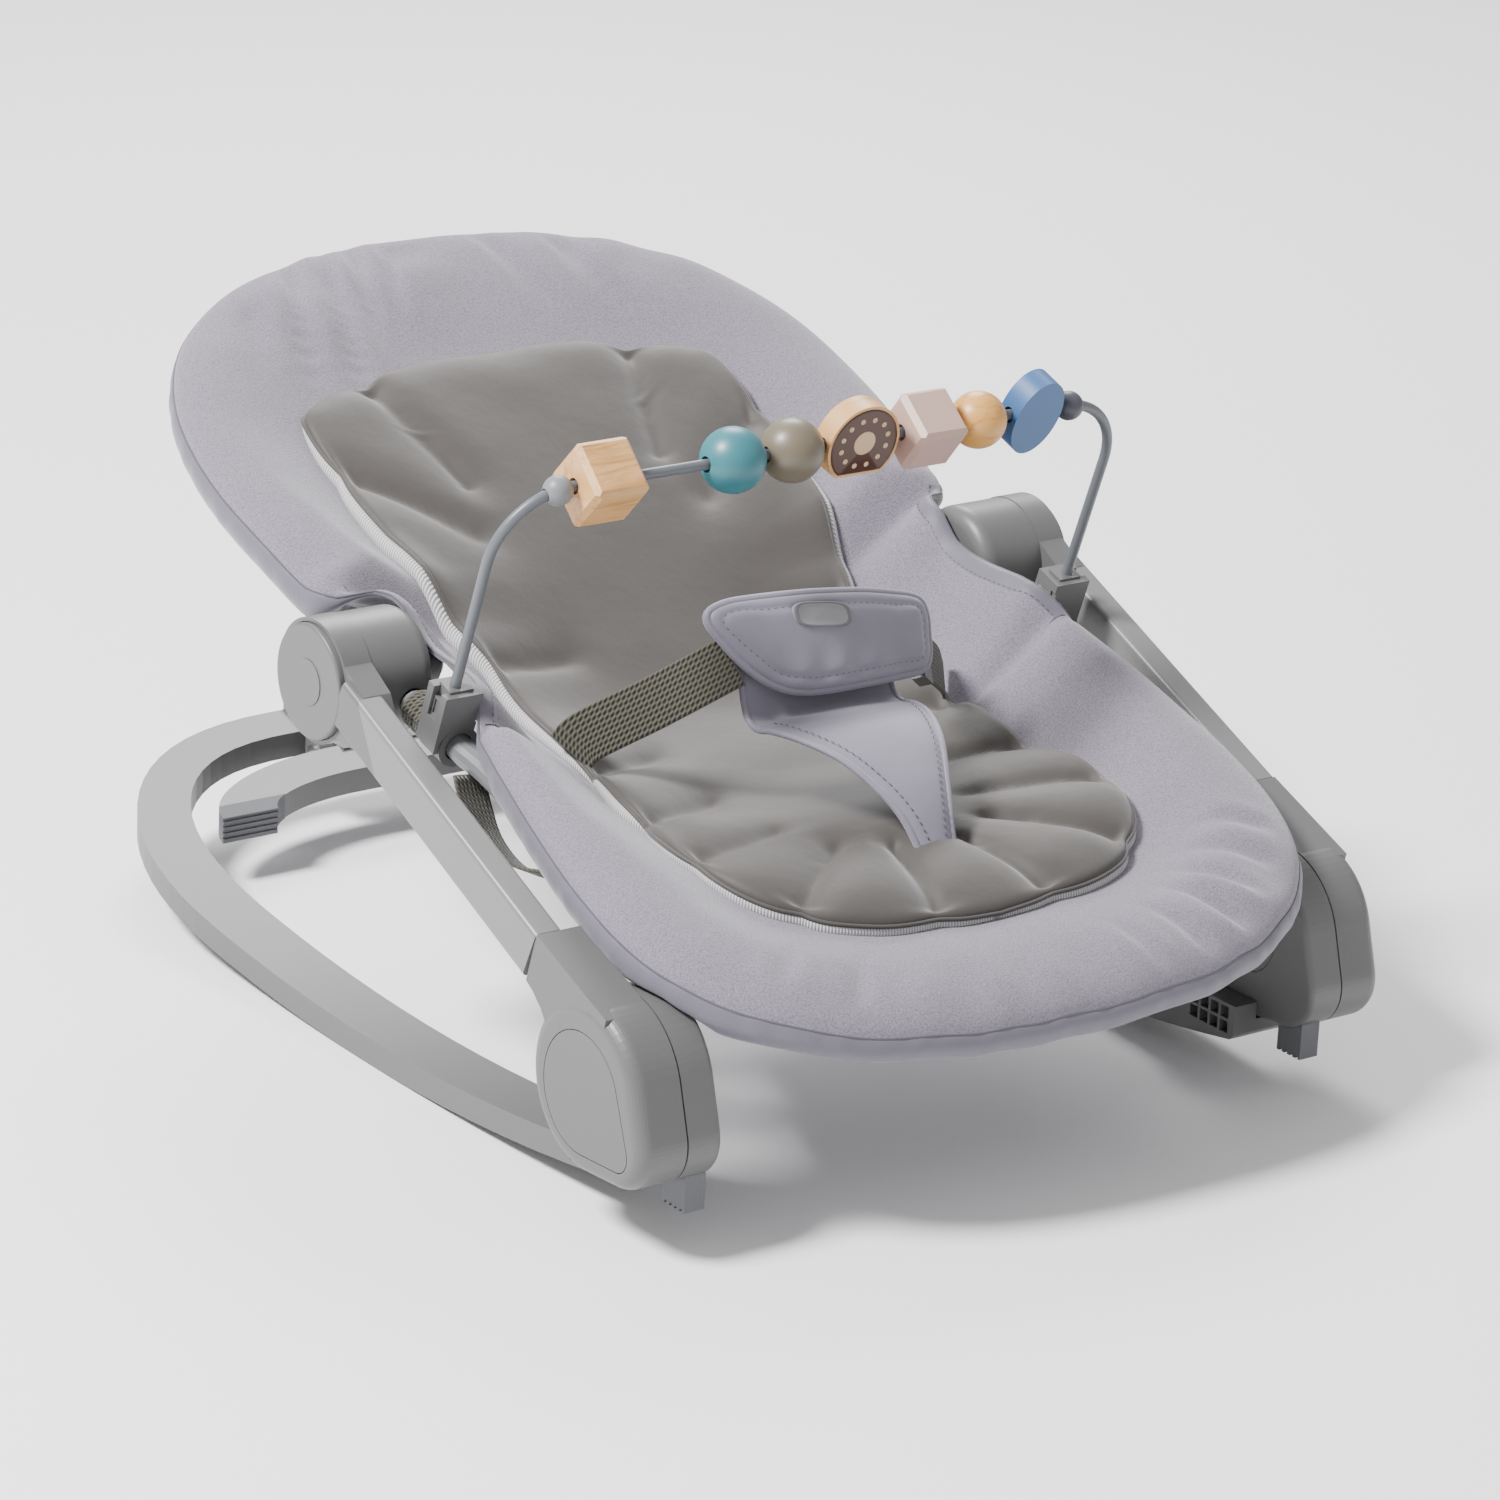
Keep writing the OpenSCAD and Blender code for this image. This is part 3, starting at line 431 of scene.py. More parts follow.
def curve_through(points, count):
    """Evenly spaced points on a Catmull-Rom curve through the given ones."""
    p = np.array(points, float)
    q = np.vstack([2 * p[0] - p[1], p, 2 * p[-1] - p[-2]])
    t = np.linspace(0, 1, CURVE_STEPS, endpoint=False)[:, None]
    fine = []
    for a, b, c, d in zip(q, q[1:], q[2:], q[3:]):
        square = (2 * a - 5 * b + 4 * c - d) * t**2
        cube = (3 * b - a - 3 * c + d) * t**3
        fine.append(0.5 * (2 * b + (c - a) * t + square + cube))
    fine = np.vstack(fine + [p[-1:]])
    length = run_along(fine)
    at = np.linspace(0, length[-1], count)
    return np.stack([np.interp(at, length, fine[:, k]) for k in range(fine.shape[1])], 1)


def tube(name, path, radius, material, sides=10, flat=1.0, closed=False, up=(0, 0, 1)):
    """Round or flattened tube along a path of points in millimetres."""
    p = np.array(path, float)
    n = len(p)
    if closed:
        before, after = np.roll(p, 1, 0), np.roll(p, -1, 0)
    else:
        before, after = np.vstack([p[:1], p[:-1]]), np.vstack([p[1:], p[-1:]])
    t = unit(after - before)
    side = unit(np.cross(t, np.array(up, float)))
    top = np.cross(side, t)
    angle = full_turn(sides)[None, :, None]
    points = (
        p[:, None, :]
        + radius * np.cos(angle) * side[:, None, :]
        + radius * flat * np.sin(angle) * top[:, None, :]
    ).reshape(-1, 3)
    faces = loops_to_faces(n, sides, closed)
    if not closed:
        faces += end_caps(n, sides)
    return make_object(name, points, faces, [material])


THREAD_DIP, THREAD_TAPER = -0.15, 0.7  # a stitch's two ends, under the cloth and thinner


def stitches(name, path, normals, length=2.6, gap=1.5, radius=0.38, lift=0.25):
    """Row of short threads along a path: each is three square rings, the middle one raised."""
    p = np.array(path, float)
    across = np.zeros(p.shape) + normals
    run = run_along(p)
    points, faces = [], []
    at = gap
    while at + length < run[-1]:
        stops = [at, at + length / 2, at + length]
        centres = np.stack([np.interp(stops, run, p[:, k]) for k in range(3)], 1)
        up = unit(np.stack([np.interp(stops, run, across[:, k]) for k in range(3)], 1))
        along = unit(centres[2] - centres[0])
        first = len(points)
        for k, (centre, n) in enumerate(zip(centres, up)):
            side = np.cross(along, n)
            height, r = (lift, radius) if k == 1 else (THREAD_DIP, radius * THREAD_TAPER)
            for a, b in ((1, 0), (0, 1), (-1, 0), (0, -1)):
                points.append(centre + n * (height + r * b) + side * r * a)
        for o in (first, first + 4):
            for j in range(4):
                k = (j + 1) % 4
                faces.append((o + j, o + 4 + j, o + 4 + k, o + k))
        faces += [tuple(range(first, first + 4)), tuple(range(first + 11, first + 7, -1))]
        at += length + gap
    return make_object(name, points, faces, [STITCH])


def merge_and_subdivide(obj):
    """Weld the points that meet at a piece's middle line, and round it with one subdivision."""
    bm = bmesh.new()
    bm.from_mesh(obj.data)
    bmesh.ops.remove_doubles(bm, verts=bm.verts, dist=WELD)
    bmesh.ops.recalc_face_normals(bm, faces=bm.faces)
    bm.to_mesh(obj.data)
    bm.free()
    modifier = obj.modifiers.new("round", "SUBSURF")
    modifier.levels = modifier.render_levels = 1


def set_weave(obj, coords):
    """Distances along and across the cloth at each point, for the webbing and rib materials."""
    data = obj.data.attributes.new("weave", "FLOAT_VECTOR", "POINT")
    data.data.foreach_set("vector", (np.array(coords, float) * MM).ravel())


# --- the sling's surface -----------------------------------------------------------------------

# The rim rises with the seat's slope up to WING_Y, and with the back's slope from BLEND_Y on.
WING_Y, WING_Z = -68.0, 194.5
BACK_Z0, BLEND_Y = 199.0, 20.0
SEAT_TAN, BACK_TAN = math.tan(math.radians(20)), math.tan(math.radians(25))
SAG_DEPTH, SAG_Y = 62.0, -55.0
CROWN = 12.5  # rise of the cover over the tube
HUB_AT, HUB_R, HUB_IN_X = (-230.5, 76.0), 44.5, 182  # front hub: y and z, radius, inner face
HUB_CLEAR = 1.8
# Rounded front and rear of the cover's outline: half-width, where it starts, where it ends, power.
FRONT_ARC, REAR_ARC = (205.5, -190, -323, 2.5), (210, 145, 303, 2.4)
OUTLINE_POINTS = 190


def rim_z(y):
    """Height of the sling's rim, with a smooth turn between its two slopes."""
    y = np.asarray(y, float)
    h = BLEND_Y - WING_Y
    t = (y - WING_Y) / h
    z1 = BACK_Z0 + BLEND_Y * BACK_TAN
    mid = (
        WING_Z * (2 * t**3 - 3 * t**2 + 1)
        + h * SEAT_TAN * (t**3 - 2 * t**2 + t)
        + z1 * (3 * t**2 - 2 * t**3)
        + h * BACK_TAN * (t**3 - t**2)
    )
    low = WING_Z + (y - WING_Y) * SEAT_TAN
    high = BACK_Z0 + y * BACK_TAN
    return np.where(y < WING_Y, low, np.where(y > BLEND_Y, high, mid))


def superellipse(width, start, end, power, count=60):
    """Quarter outline from the middle line at y = end to the side at y = start."""
    angle = np.linspace(0, np.pi / 2, count)
    x = width * np.sin(angle) ** (2 / power)
    y = start + (end - start) * np.cos(angle) ** (2 / power)
    return np.stack([x, y], 1)


def right_outline():
    """Right half of the cover's outline, waisted where it passes the clip and the drum."""
    side = [
        (204.5, -175), (200.5, -135), (194.5, -97), (190.5, -78), (188.5, -68), (184, -60),
        (178, -50), (174.5, -36), (172.6, -18), (172, 2), (172, 20), (173, 36), (177, 45.5),
        (185, 51.5), (194, 57.5), (199.5, 66), (202.5, 78), (206, 98), (209, 125),
    ]
    front, rear = superellipse(*FRONT_ARC)[::3], superellipse(*REAR_ARC)[::-3]
    return curve_through(np.vstack([front, side, rear]), OUTLINE_POINTS)


def both_sides(right):
    """Closed outline from its right half, whose two ends lie on the middle line."""
    return np.vstack([right, right[-2:0:-1] * [-1, 1]])


RIGHT = right_outline()
OUTLINE = both_sides(RIGHT)


def rim_distance(x, y):
    """Plan distance from the cover's outline, for points inside it."""
    p = np.stack([np.abs(x).ravel(), y.ravel()], 1)
    a, b = RIGHT[:-1], RIGHT[1:]
    d = b - a
    best = np.full(len(p), 1e9)
    for k in range(len(a)):
        t = np.clip(((p - a[k]) @ d[k]) / (d[k] @ d[k]), 0, 1)
        best = np.minimum(best, np.linalg.norm(p - a[k] - t[:, None] * d[k], axis=1))
    return best.reshape(np.shape(x))


def half_width(y):
    """Half the cover's width at y."""
    order = np.argsort(RIGHT[:, 1], kind="stable")
    return np.interp(y, RIGHT[order, 1], RIGHT[order, 0])


# How far in from the edge the sling starts to hang, at each y.
BRIM = np.array([
    (-338, 20), (-300, 38), (-275, 36), (-250, 41), (-224, 46), (-200, 44), (-172, 31),
    (-135, 21), (-100, 16), (-72, 12), (-40, 3), (58, 3), (66, 18), (76, 38), (90, 38),
    (115, 33), (145, 26), (182, 23), (216, 23), (248, 24), (271, 32), (308, 38),
], float)
# How much the edge rises where it passes the drum and the clip, at each y.
EDGE_LIFT = np.array([
    (-69, 0), (-62, 7), (-51, 14), (-38, 16), (-24, 16), (2, 15), (15, 15), (22, 18),
    (29, 21), (37, 20), (47, 16), (57, 7), (76, 0),
], float)
# Creases of the cover: outer end, inner end, width and depth.
FOLDS = [
    ((-86, 282), (-113, 208), 4.5, 3.2), ((-58, 292), (-83, 206), 4.2, 3.4),
    ((-40, 294), (-60, 234), 3.6, 2.4), ((-17, 296), (-35, 250), 3.8, 2.6),
    ((0, 297), (-11, 258), 3.4, 2.0), ((44, 294), (60, 240), 4.5, 1.8),
    ((84, 284), (106, 222), 4.5, 1.8), ((-124, 262), (-140, 214), 5.0, 1.8),
    ((-118, -296), (-96, -262), 4.5, 1.8), ((118, -300), (96, -262), 4.5, 2.8),
    ((140, -286), (112, -252), 4.0, 2.8), ((162, -268), (132, -240), 4.0, 2.6),
    ((176, -248), (150, -226), 4.0, 2.4), ((88, -310), (74, -276), 4.5, 2.6),
    ((54, -316), (46, -284), 4.5, 2.0), ((-150, -276), (-122, -246), 4.5, 1.6),
]


def fold_depth(x, y):
    """Soft creases of the loosely stretched cloth."""
    total = np.zeros(np.shape(x))
    for (ax, ay), (bx, by), width, depth in FOLDS:
        dx, dy = bx - ax, by - ay
        t = ((x - ax) * dx + (y - ay) * dy) / (dx * dx + dy * dy)
        across = np.hypot(x - ax - t * dx, y - ay - t * dy)
        along = ease(t, -0.15, 0.15) * (1 - ease(t, 0.6, 1.1))
        ridge = 0.45 * bell((across - 2.2 * width) / (1.3 * width))
        total += 1.4 * depth * along * (bell(across / width) - ridge)
    return total


def sag(y):
    """How far the sling's middle hangs below its rim."""
    ends = ease(y, -318, -258) * ease(y, 296, 206)
    return SAG_DEPTH * bell((y - SAG_Y) / np.where(y < SAG_Y, 110.0, 190.0)) * ends


def in_notch(y):
    """1 where the cover's edge runs past the drum and the clip, 0 where it wraps a tube."""
    return ease(y, -72, -62) * (1 - ease(y, 50, 72))


def hip_seam_y(x):
    """The seam that runs in from the edge beside each hip."""
    return -66 + 0.05 * (190 - x)


def cover_z(x, y):
    """Height of the cover's upper face."""
    x, y = np.asarray(x, float), np.asarray(y, float)
    side, d = np.abs(x), rim_distance(x, y)
    hung = np.maximum(8, half_width(y) - np.interp(y, *BRIM.T))
    z = rim_z(y) - sag(y) * (1 - np.minimum(1, side / hung) ** 2.6)
    # The crown over the tube is lower in the notch and towards the top of the back.
    high = ease(y, 70, 200)
    crown = CROWN * quarter_round(d / 24) * (1 - ease(d, 30, 82))
    z = z + crown * (1 - 0.85 * in_notch(y)) * (1 - 0.35 * high) - 4.0 * high
    z = z + np.interp(y, *EDGE_LIFT.T) * (1 - ease(d, 0, 46))
    # The hip seam lies in a valley.
    seam = bell((y - hip_seam_y(side)) / 7.0)
    z = z - 4.5 * seam * ease(side, 112, 138) * ease(d, 0, 12)
    # The front and rear edges are gathered, with longer folds further in.
    front, rear = ease(y, -215, -285), ease(y, 215, 275)
    angle = np.arctan2(y - np.where(y < 0, -150, 130), x)
    gathers = np.sin(angle * 23 + 1.3 * np.sin(angle * 7)) * bell((d - 16) / 17)
    corner = 1 + 0.9 * ease(x, 60, 120) * front
    z = z + 1.1 * gathers * (front * corner + rear) - fold_depth(x, y)
    folds = np.sin(angle * 9 + 2.1 * np.sin(angle * 3)) * bell((d - 52) / 34)
    z = z + (0.8 * front + 1.9 * rear) * folds
    # Nowhere is the cloth quite even.
    return z + 0.5 * np.sin(x / 17 + 1.7 * np.sin(y / 29)) * np.sin(y / 21 + 0.8 * np.sin(x / 37))


RING_AT = [0, 0.7, 1.8, 3.5, 6, 9, 12.5, 16.5, 21, 26, 31.5, 38, 45, 53]
RING_SHARES = [(k + 1) / 15 for k in range(15)]
SPINE = (-195, 175)  # ends of the middle line that the rings close on
GUSSET_ROWS = [
    # how far out and, in shares of the gusset's height, down
    (0.9, 0.05), (2.0, 0.22), (2.5, 0.45), (1.8, 0.7), (-0.6, 0.92), (-5, 1.08),
    (-11, 1.2), (-18, 1.27), (-26, 1.3), (-35, 1.26), (-44, 1.15),
]
TUCK_FROM = -12  # gusset rows further in than this stay under the cover
UNDER_RING = 56
COVER_THICKNESS = 9
BOUND_BAND = 9  # width of the satin band along the edge in the notch
BAND_STITCH_IN = 8.6  # how far in its stitches run


def rings(outline, spine, offsets, shares=()):
    """Rings inside an outline, from its middle line out: at shares of the way from the last
    offset to the middle line, then at the offsets from the outline."""
    middle = np.stack([np.zeros(len(outline)), np.clip(outline[:, 1], *spine)], 1)
    away = middle - outline
    length = np.linalg.norm(away, axis=1)[:, None]
    last = offsets[-1]
    at = [last + (length - last) * share for share in reversed(shares)] + offsets[::-1]
    return [outline + away / length * distance for distance in at]


def gusset_height(y):
    """Height of the cover's side, from its seam down."""
    notch = in_notch(y)
    return 17.5 * (1 - notch) + 3.0 * notch - 4.0 * ease(np.abs(y), 240, 300)


def hub_limit(x, y):
    """Lowest height that clears the front hubs."""
    reach = np.clip((HUB_R + HUB_CLEAR) ** 2 - (y - HUB_AT[0]) ** 2, 0, None)
    top = HUB_AT[1] + np.sqrt(reach)
    return np.where((np.abs(x) > HUB_IN_X) & (reach > 0), top, -1e9)


def make_cover():
    """The sling's cloth: its upper face, the gusset round its edge and its underside."""
    top = rings(OUTLINE, SPINE, RING_AT, RING_SHARES)
    points = [in_plan(plan, cover_z(*plan.T)) for plan in top]
    seam = points[-1]
    y = OUTLINE[:, 1]
    normal, notch, height = plan_normals(OUTLINE), in_notch(y), gusset_height(y)
    place = np.arange(len(OUTLINE))
    gather = 0.5 * np.sin(place * 1.9) * np.sin(place * 0.37 + 1.0) * (1 - notch)
    for out, down in GUSSET_ROWS:
        reach = out * (1 - 0.75 * notch) + (gather if out > 0 else 0)
        plan = OUTLINE + normal * reach[:, None]
        z = seam[:, 2] - down * height
        if out < TUCK_FROM:
            z = np.minimum(z, cover_z(*plan.T) - 4)
        points.append(in_plan(plan, np.maximum(z, hub_limit(*plan.T))))
    under = rings(OUTLINE, SPINE, [UNDER_RING]) + top[len(RING_SHARES) - 2 :: -1]
    points += [in_plan(plan, cover_z(*plan.T) - COVER_THICKNESS) for plan in under]

    cols = len(OUTLINE)
    faces = loops_to_faces(len(points), cols)
    obj = make_object("cover", np.vstack(points), faces, [FLEECE, SATIN])
    band_row = len(top) - sum(offset <= BOUND_BAND for offset in RING_AT)
    for index, polygon in enumerate(obj.data.polygons):
        row, col = divmod(index, cols)
        if row >= len(top) - 1 or (row >= band_row and notch[col] > 0.5):
            polygon.material_index = 1
    return obj, seam


def hip_seam(sign):
    """Raised seam that runs in from the edge beside a hip."""
    x = np.linspace(184, 126, 30)
    y = hip_seam_y(x)
    path = np.column_stack([sign * x, y, cover_z(x, y) + 0.35])
    return tube("hip_seam", path, 0.6, THREAD, 6)


def notch_stitches(sign):
    """Stitch line along the bound band beside a drum and clip."""
    ring = rings(OUTLINE, SPINE, [BAND_STITCH_IN])[0]
    line = in_plan(ring, cover_z(*ring.T) + 0.1)
    keep = (in_notch(OUTLINE[:, 1]) > 0.3) & (OUTLINE[:, 0] > 0)
    path = line[keep] * [sign, 1, 1]
    return stitches("notch_stitches", path, (0, 0, 1), 2.4, 1.3, 0.34, 0.2)


# --- insert cushion ----------------------------------------------------------------------------

INSERT_RIGHT = [
    (0, -251), (38, -249), (70, -243), (98, -230), (118, -208), (128, -184), (130, -160),
    (126, -136), (121, -112), (119, -96), (118, -84), (117, -66), (114, -40), (112, -10),
    (114, 18), (119, 48), (126, 78), (131.5, 108), (134.5, 140), (134.5, 165), (132, 187),
    (128, 192), (112, 200), (76, 210), (40, 215), (0, 216),
]
# Creases of the insert's right half: inner end and outer end.
CREASES = [
    ((74, 108), (133, 150)), ((62, 138), (86, 208)), ((62, 40), (122, 30)),
    ((60, -40), (117, -62)), ((60, -92), (122, -118)), ((58, -146), (128, -172)),
    ((48, -178), (104, -226)), ((20, -190), (36, -254)),
]
# The ribbed side strip: its start, then where each stretch ends and how wide that one gets.
STRIP_BREAKS = [
    ((0, -252), 0.0), ((121, -118), 2.4), ((117, -62), 6.5), ((131, 189), 10.0), ((0, 216), 1.4),
]
# The strip's cross-section: how far out and how high, in shares of its width and height.
STRIP_ROWS = [(-0.25, 0.95), (0.1, 0.97), (0.34, 0.78), (0.5, 0.5), (0.56, 0.22), (0.5, 0.0)]
STRIP_LIFT = 0.75  # how much of the strip's width raises the insert's edge
INSERT_SPINE = (-170, 130)
INSERT_RINGS = [0, 1.5, 3.5, 6.5, 10, 14, 19, 25, 32, 40, 49, 60]
INSERT_SHARES = [(k + 1) / 12 for k in range(12)]
INSERT_UNDER = [(0.6, 1.6), (4, 2.8), (12, 3.6)]  # how far in and down, under the edge
INSERT_EDGE, INSERT_MIDDLE = 4.0, 15.5  # thickness
BULGE = 2.2


def insert_outline():
    """Outline with a shallow bulge between the ends of neighbouring creases."""
    right = curve_through(INSERT_RIGHT, 150)
    ends = np.array([end for _, end in CREASES], float)
    gap = np.linalg.norm(right[:, None, :] - ends[None], axis=2).min(axis=1)
    t = np.gradient(right, axis=0)
    out = unit(np.stack([t[:, 1], -t[:, 0]], 1))
    right = right + out * (2 * BULGE * np.tanh(gap / 12) - BULGE)[:, None]
    right[0, 0] = right[-1, 0] = 0
    return both_sides(right)


def crease(x, y, width):
    """1 on a crease, falling to 0 at about twice the width from it."""
    x = np.abs(x)
    best = np.full(np.shape(x), 1e9)
    for (ax, ay), (bx, by) in CREASES:
        dx, dy = bx - ax, by - ay
        t = np.clip(((x - ax) * dx + (y - ay) * dy) / (dx * dx + dy * dy), 0, 1)
        best = np.minimum(best, np.hypot(x - ax - t * dx, y - ay - t * dy))
    return bell(best / width)


def strip_width(outline):
    """Width of the side strip round the outline: leaf-shaped stretches between seams."""
    right = outline[: len(outline) // 2 + 1]
    run = run_along(right)
    stops = [run[np.linalg.norm(right - at, axis=1).argmin()] for at, _ in STRIP_BREAKS]
    width = np.zeros(len(right))
    for start, stop, (_, widest) in zip(stops, stops[1:], STRIP_BREAKS[1:]):
        share = np.clip((run - start) / (stop - start), 0, 1)
        leaf = widest * np.sin(np.pi * share) ** 0.7
        width = np.maximum(width, np.where((run >= start) & (run <= stop), leaf, 0))
    return np.concatenate([width, width[-2:0:-1]])


def make_insert(outline, lift):
    """The cushion, with its edge raised by lift."""

    def thickness(plan, inward):
        edge = INSERT_EDGE + lift
        full = edge + (INSERT_MIDDLE - edge) * quarter_round(inward / 30)
        folds = crease(*plan.T, 3.6) + crease(*plan.T, 13)
        return full - 4.5 * folds * ease(inward, 0, 7)

    top = rings(outline, INSERT_SPINE, INSERT_RINGS, INSERT_SHARES)
    inwards = [INSERT_RINGS[-1]] * len(INSERT_SHARES) + INSERT_RINGS[::-1]
    points = [
        in_plan(plan, cover_z(*plan.T) + thickness(plan, inward))
        for plan, inward in zip(top, inwards)
    ]
    for inward, lower in INSERT_UNDER:
        plan = rings(outline, INSERT_SPINE, [inward])[0]
        height = INSERT_EDGE - lower + lift * (1 - inward / INSERT_UNDER[-1][0])
        points.append(in_plan(plan, cover_z(*plan.T) + height))
    faces = loops_to_faces(len(points), len(outline))
    return make_object("insert", np.vstack(points), faces, [INSERT])


def make_insert_edge(outline, width, lift):
    """Ribbed strip that shows round the cushion's side."""
    out = plan_normals(outline)
    run = run_along(outline)
    points, weave = [], []
    for reach, rise in STRIP_ROWS:
        plan = outline + out * (reach * width)[:, None]
        points.append(in_plan(plan, cover_z(*plan.T) + 0.3 + (2.2 + lift) * rise))
        weave.append(np.stack([run, rise * width, run * 0], 1))
    faces = loops_to_faces(len(points), len(outline))
    strip = make_object("insert_edge", np.vstack(points), faces, [RIB])
    set_weave(strip, np.vstack(weave))
    return strip


def make_insert_piping(outline, lift):
    seam = in_plan(outline, cover_z(*outline.T) + 3.0 + lift)
    return tube("insert_piping", seam, 1.2, INSERT, 8, closed=True)


# --- straps and harness ------------------------------------------------------------------------

SIDE = {-1: "left", 1: "right"}


def strap_frame(path, across):
    """A path's points, the directions across the strap, and the strap's normals."""
    p = np.array(path, float)
    t = unit(np.gradient(p, axis=0))
    n = unit(np.cross(np.array(across, float), t))
    return p, unit(np.cross(t, n)), n


def ribbon(name, path, across, halves, thickness, material, corner, sides, sway=None):
    """Strap along a path: halves is its half-width, and a low corner squares its edges."""
    p, d, n = strap_frame(path, across)
    halves = (np.zeros(len(p)) + halves)[:, None]
    angle = full_turn(sides)
    u, w = (np.sign(q) * np.abs(q) ** corner for q in (np.cos(angle), np.sin(angle)))
    height = w[None, :] * thickness / 2 + (np.zeros((len(p), 1)) if sway is None else sway(p, u))
    points = p[:, None] + (halves * u)[:, :, None] * d[:, None] + height[:, :, None] * n[:, None]
    faces = loops_to_faces(len(p), sides) + end_caps(len(p), sides)
    obj = make_object(name, points.reshape(-1, 3), faces, [material])
    run = np.repeat(run_along(p)[:, None], sides, 1)
    set_weave(obj, np.stack([run, halves * u, run * 0], 2).reshape(-1, 3))
    return obj


PAD_LOW, PAD_HIGH = np.array([0, -107.0, 199.0]), np.array([0, -87.0, 243.0])
PAD_UP = unit(PAD_HIGH - PAD_LOW)
PAD_OUT = np.array([0, -PAD_UP[2], PAD_UP[1]])
PAD_SHAPE = [
    (0, 52.5), (30, 49), (54, 44.8), (66, 42.2), (73, 38.5), (75.4, 31), (73.5, 20), (71.5, 11),
    (67.5, 5.5), (60, 3.2), (42, 2.6), (21, 2.4), (0, 2.6), (-14, 3.6), (-26, 6.6), (-37, 13),
    (-47, 23), (-55, 35), (-61, 46.5), (-60, 52), (-53, 54.6), (-43, 55.2), (-20, 54),
]
PAD_TILT = -0.15
PAD_MIDDLE = (-30, 46)  # ends of the line that the pad's rings close on
PAD_RINGS = [0.8, 1.8, 3.2, 5, 6.5, 8, 9.6, 11.4, 13.4, 15.6]
PAD_UNDER = [(1.0, -2.2), (4, -4.2), (9, -5.4), (15, -5.8)]  # how far in, and the height there
PAD_SEAM = 6.5  # how far in the stitched channel runs


def pad_place(u, v, w):
    """Point of the pad's own frame, across, up and out, which is bent round the lap."""
    u, v, w = np.broadcast_arrays(*(np.asarray(c, float) for c in (u, v, w)))
    u, v, w = u[..., None], v[..., None], (w - u**2 / 520)[..., None]
    return PAD_LOW + u * np.array([1.0, 0, 0]) + v * PAD_UP + w * PAD_OUT


def pad_face(u, v, d):
    """Height of the pad's front at a distance d inside its edge."""
    dome = quarter_round(d / 15)
    folds = np.sin(u / 4.3 + 0.9 * np.sin(u / 17)) * bell((v - 13) / 9)
    return 1.2 + 5.2 * dome + 1.1 * folds * dome - 1.3 * bell((d - PAD_SEAM) / 1.6)


def make_pad():
    outline = curve_through(PAD_SHAPE + PAD_SHAPE[:1], 161)[:-1]
    middle = np.clip(outline[:, 0], *PAD_MIDDLE)
    away = np.stack([middle, 28.5 + PAD_TILT * (middle - 7)], 1) - outline
    length = np.linalg.norm(away, axis=1)

    def ring(inward, height=None):
        u, v = (outline + unit(away) * np.reshape(inward, (-1, 1))).T
        return pad_place(u, v, pad_face(u, v, inward) if height is None else height)

    points = [ring(length * share) for share in (1.0, 0.92, 0.84)]
    points += [ring(step) for step in reversed(PAD_RINGS)] + [ring(0, 0)]
    points += [ring(step, height) for step, height in PAD_UNDER]
    points.append(ring(length, PAD_UNDER[-1][1]))
    faces = loops_to_faces(len(points), len(outline))
    pad = make_object("lap_pad_cloth", np.vstack(points), faces, [PAD_SATIN])
    edge = ring(0, 0.2)
    binding = tube("lap_pad_binding", edge, 2.3, PAD_SATIN, 10, closed=True, up=PAD_OUT)
    return pad, binding, stitches("lap_pad_stitches", ring(PAD_SEAM), PAD_OUT)


PATCH_SIZE, PATCH_V = (17.5, 6.6), 40.5  # half-sizes, and its place up the pad
PATCH_SIDES = 64
# The patch's rings: share of its size, and height.
PATCH_RINGS = [
    (1.0, -0.6), (1.0, 0.7), (0.96, 1.15), (0.88, 1.15), (0.84, 0.75), (0.4, 0.85), (0.02, 0.9),
]


def make_patch():
    """Blank rounded label with a raised rim."""
    angle = full_turn(PATCH_SIDES)
    c, s = np.cos(angle), np.sin(angle)
    x = PATCH_SIZE[0] * np.sign(c) * np.abs(c) ** 0.5
    y = PATCH_SIZE[1] * np.sign(s) * np.abs(s) ** 0.62
    base = pad_face(0, 40, 10) + 0.1
    points = []
    for scale, height in PATCH_RINGS:
        u, v = scale * x, scale * y
        points.append(pad_place(u, PATCH_V + v + PAD_TILT * u, base + height))
    faces = loops_to_faces(len(points), PATCH_SIDES)
    patch = make_object("lap_patch_cloth", np.vstack(points), faces, [PATCH, PATCH_RIM])
    for index, polygon in enumerate(patch.data.polygons):
        polygon.material_index = 1 if index // PATCH_SIDES in (1, 2, 3) else 0
    return patch


CROTCH = [
    (0, -203, 140), (0, -197, 150), (0, -188, 163), (0, -175, 175), (0, -158, 185.5),
    (0, -138, 190), (0, -120, 190), (0, -107, 187.5), (0, -98.5, 190.5), (0, -94, 199),
    (0, -91.8, 207), (0, -88.5, 216), (0, -85.5, 224),
]
CROTCH_ROWS = 66
CROTCH_NARROW, CROTCH_WIDE = 10.5, 46  # half-widths at the seat and at the pad


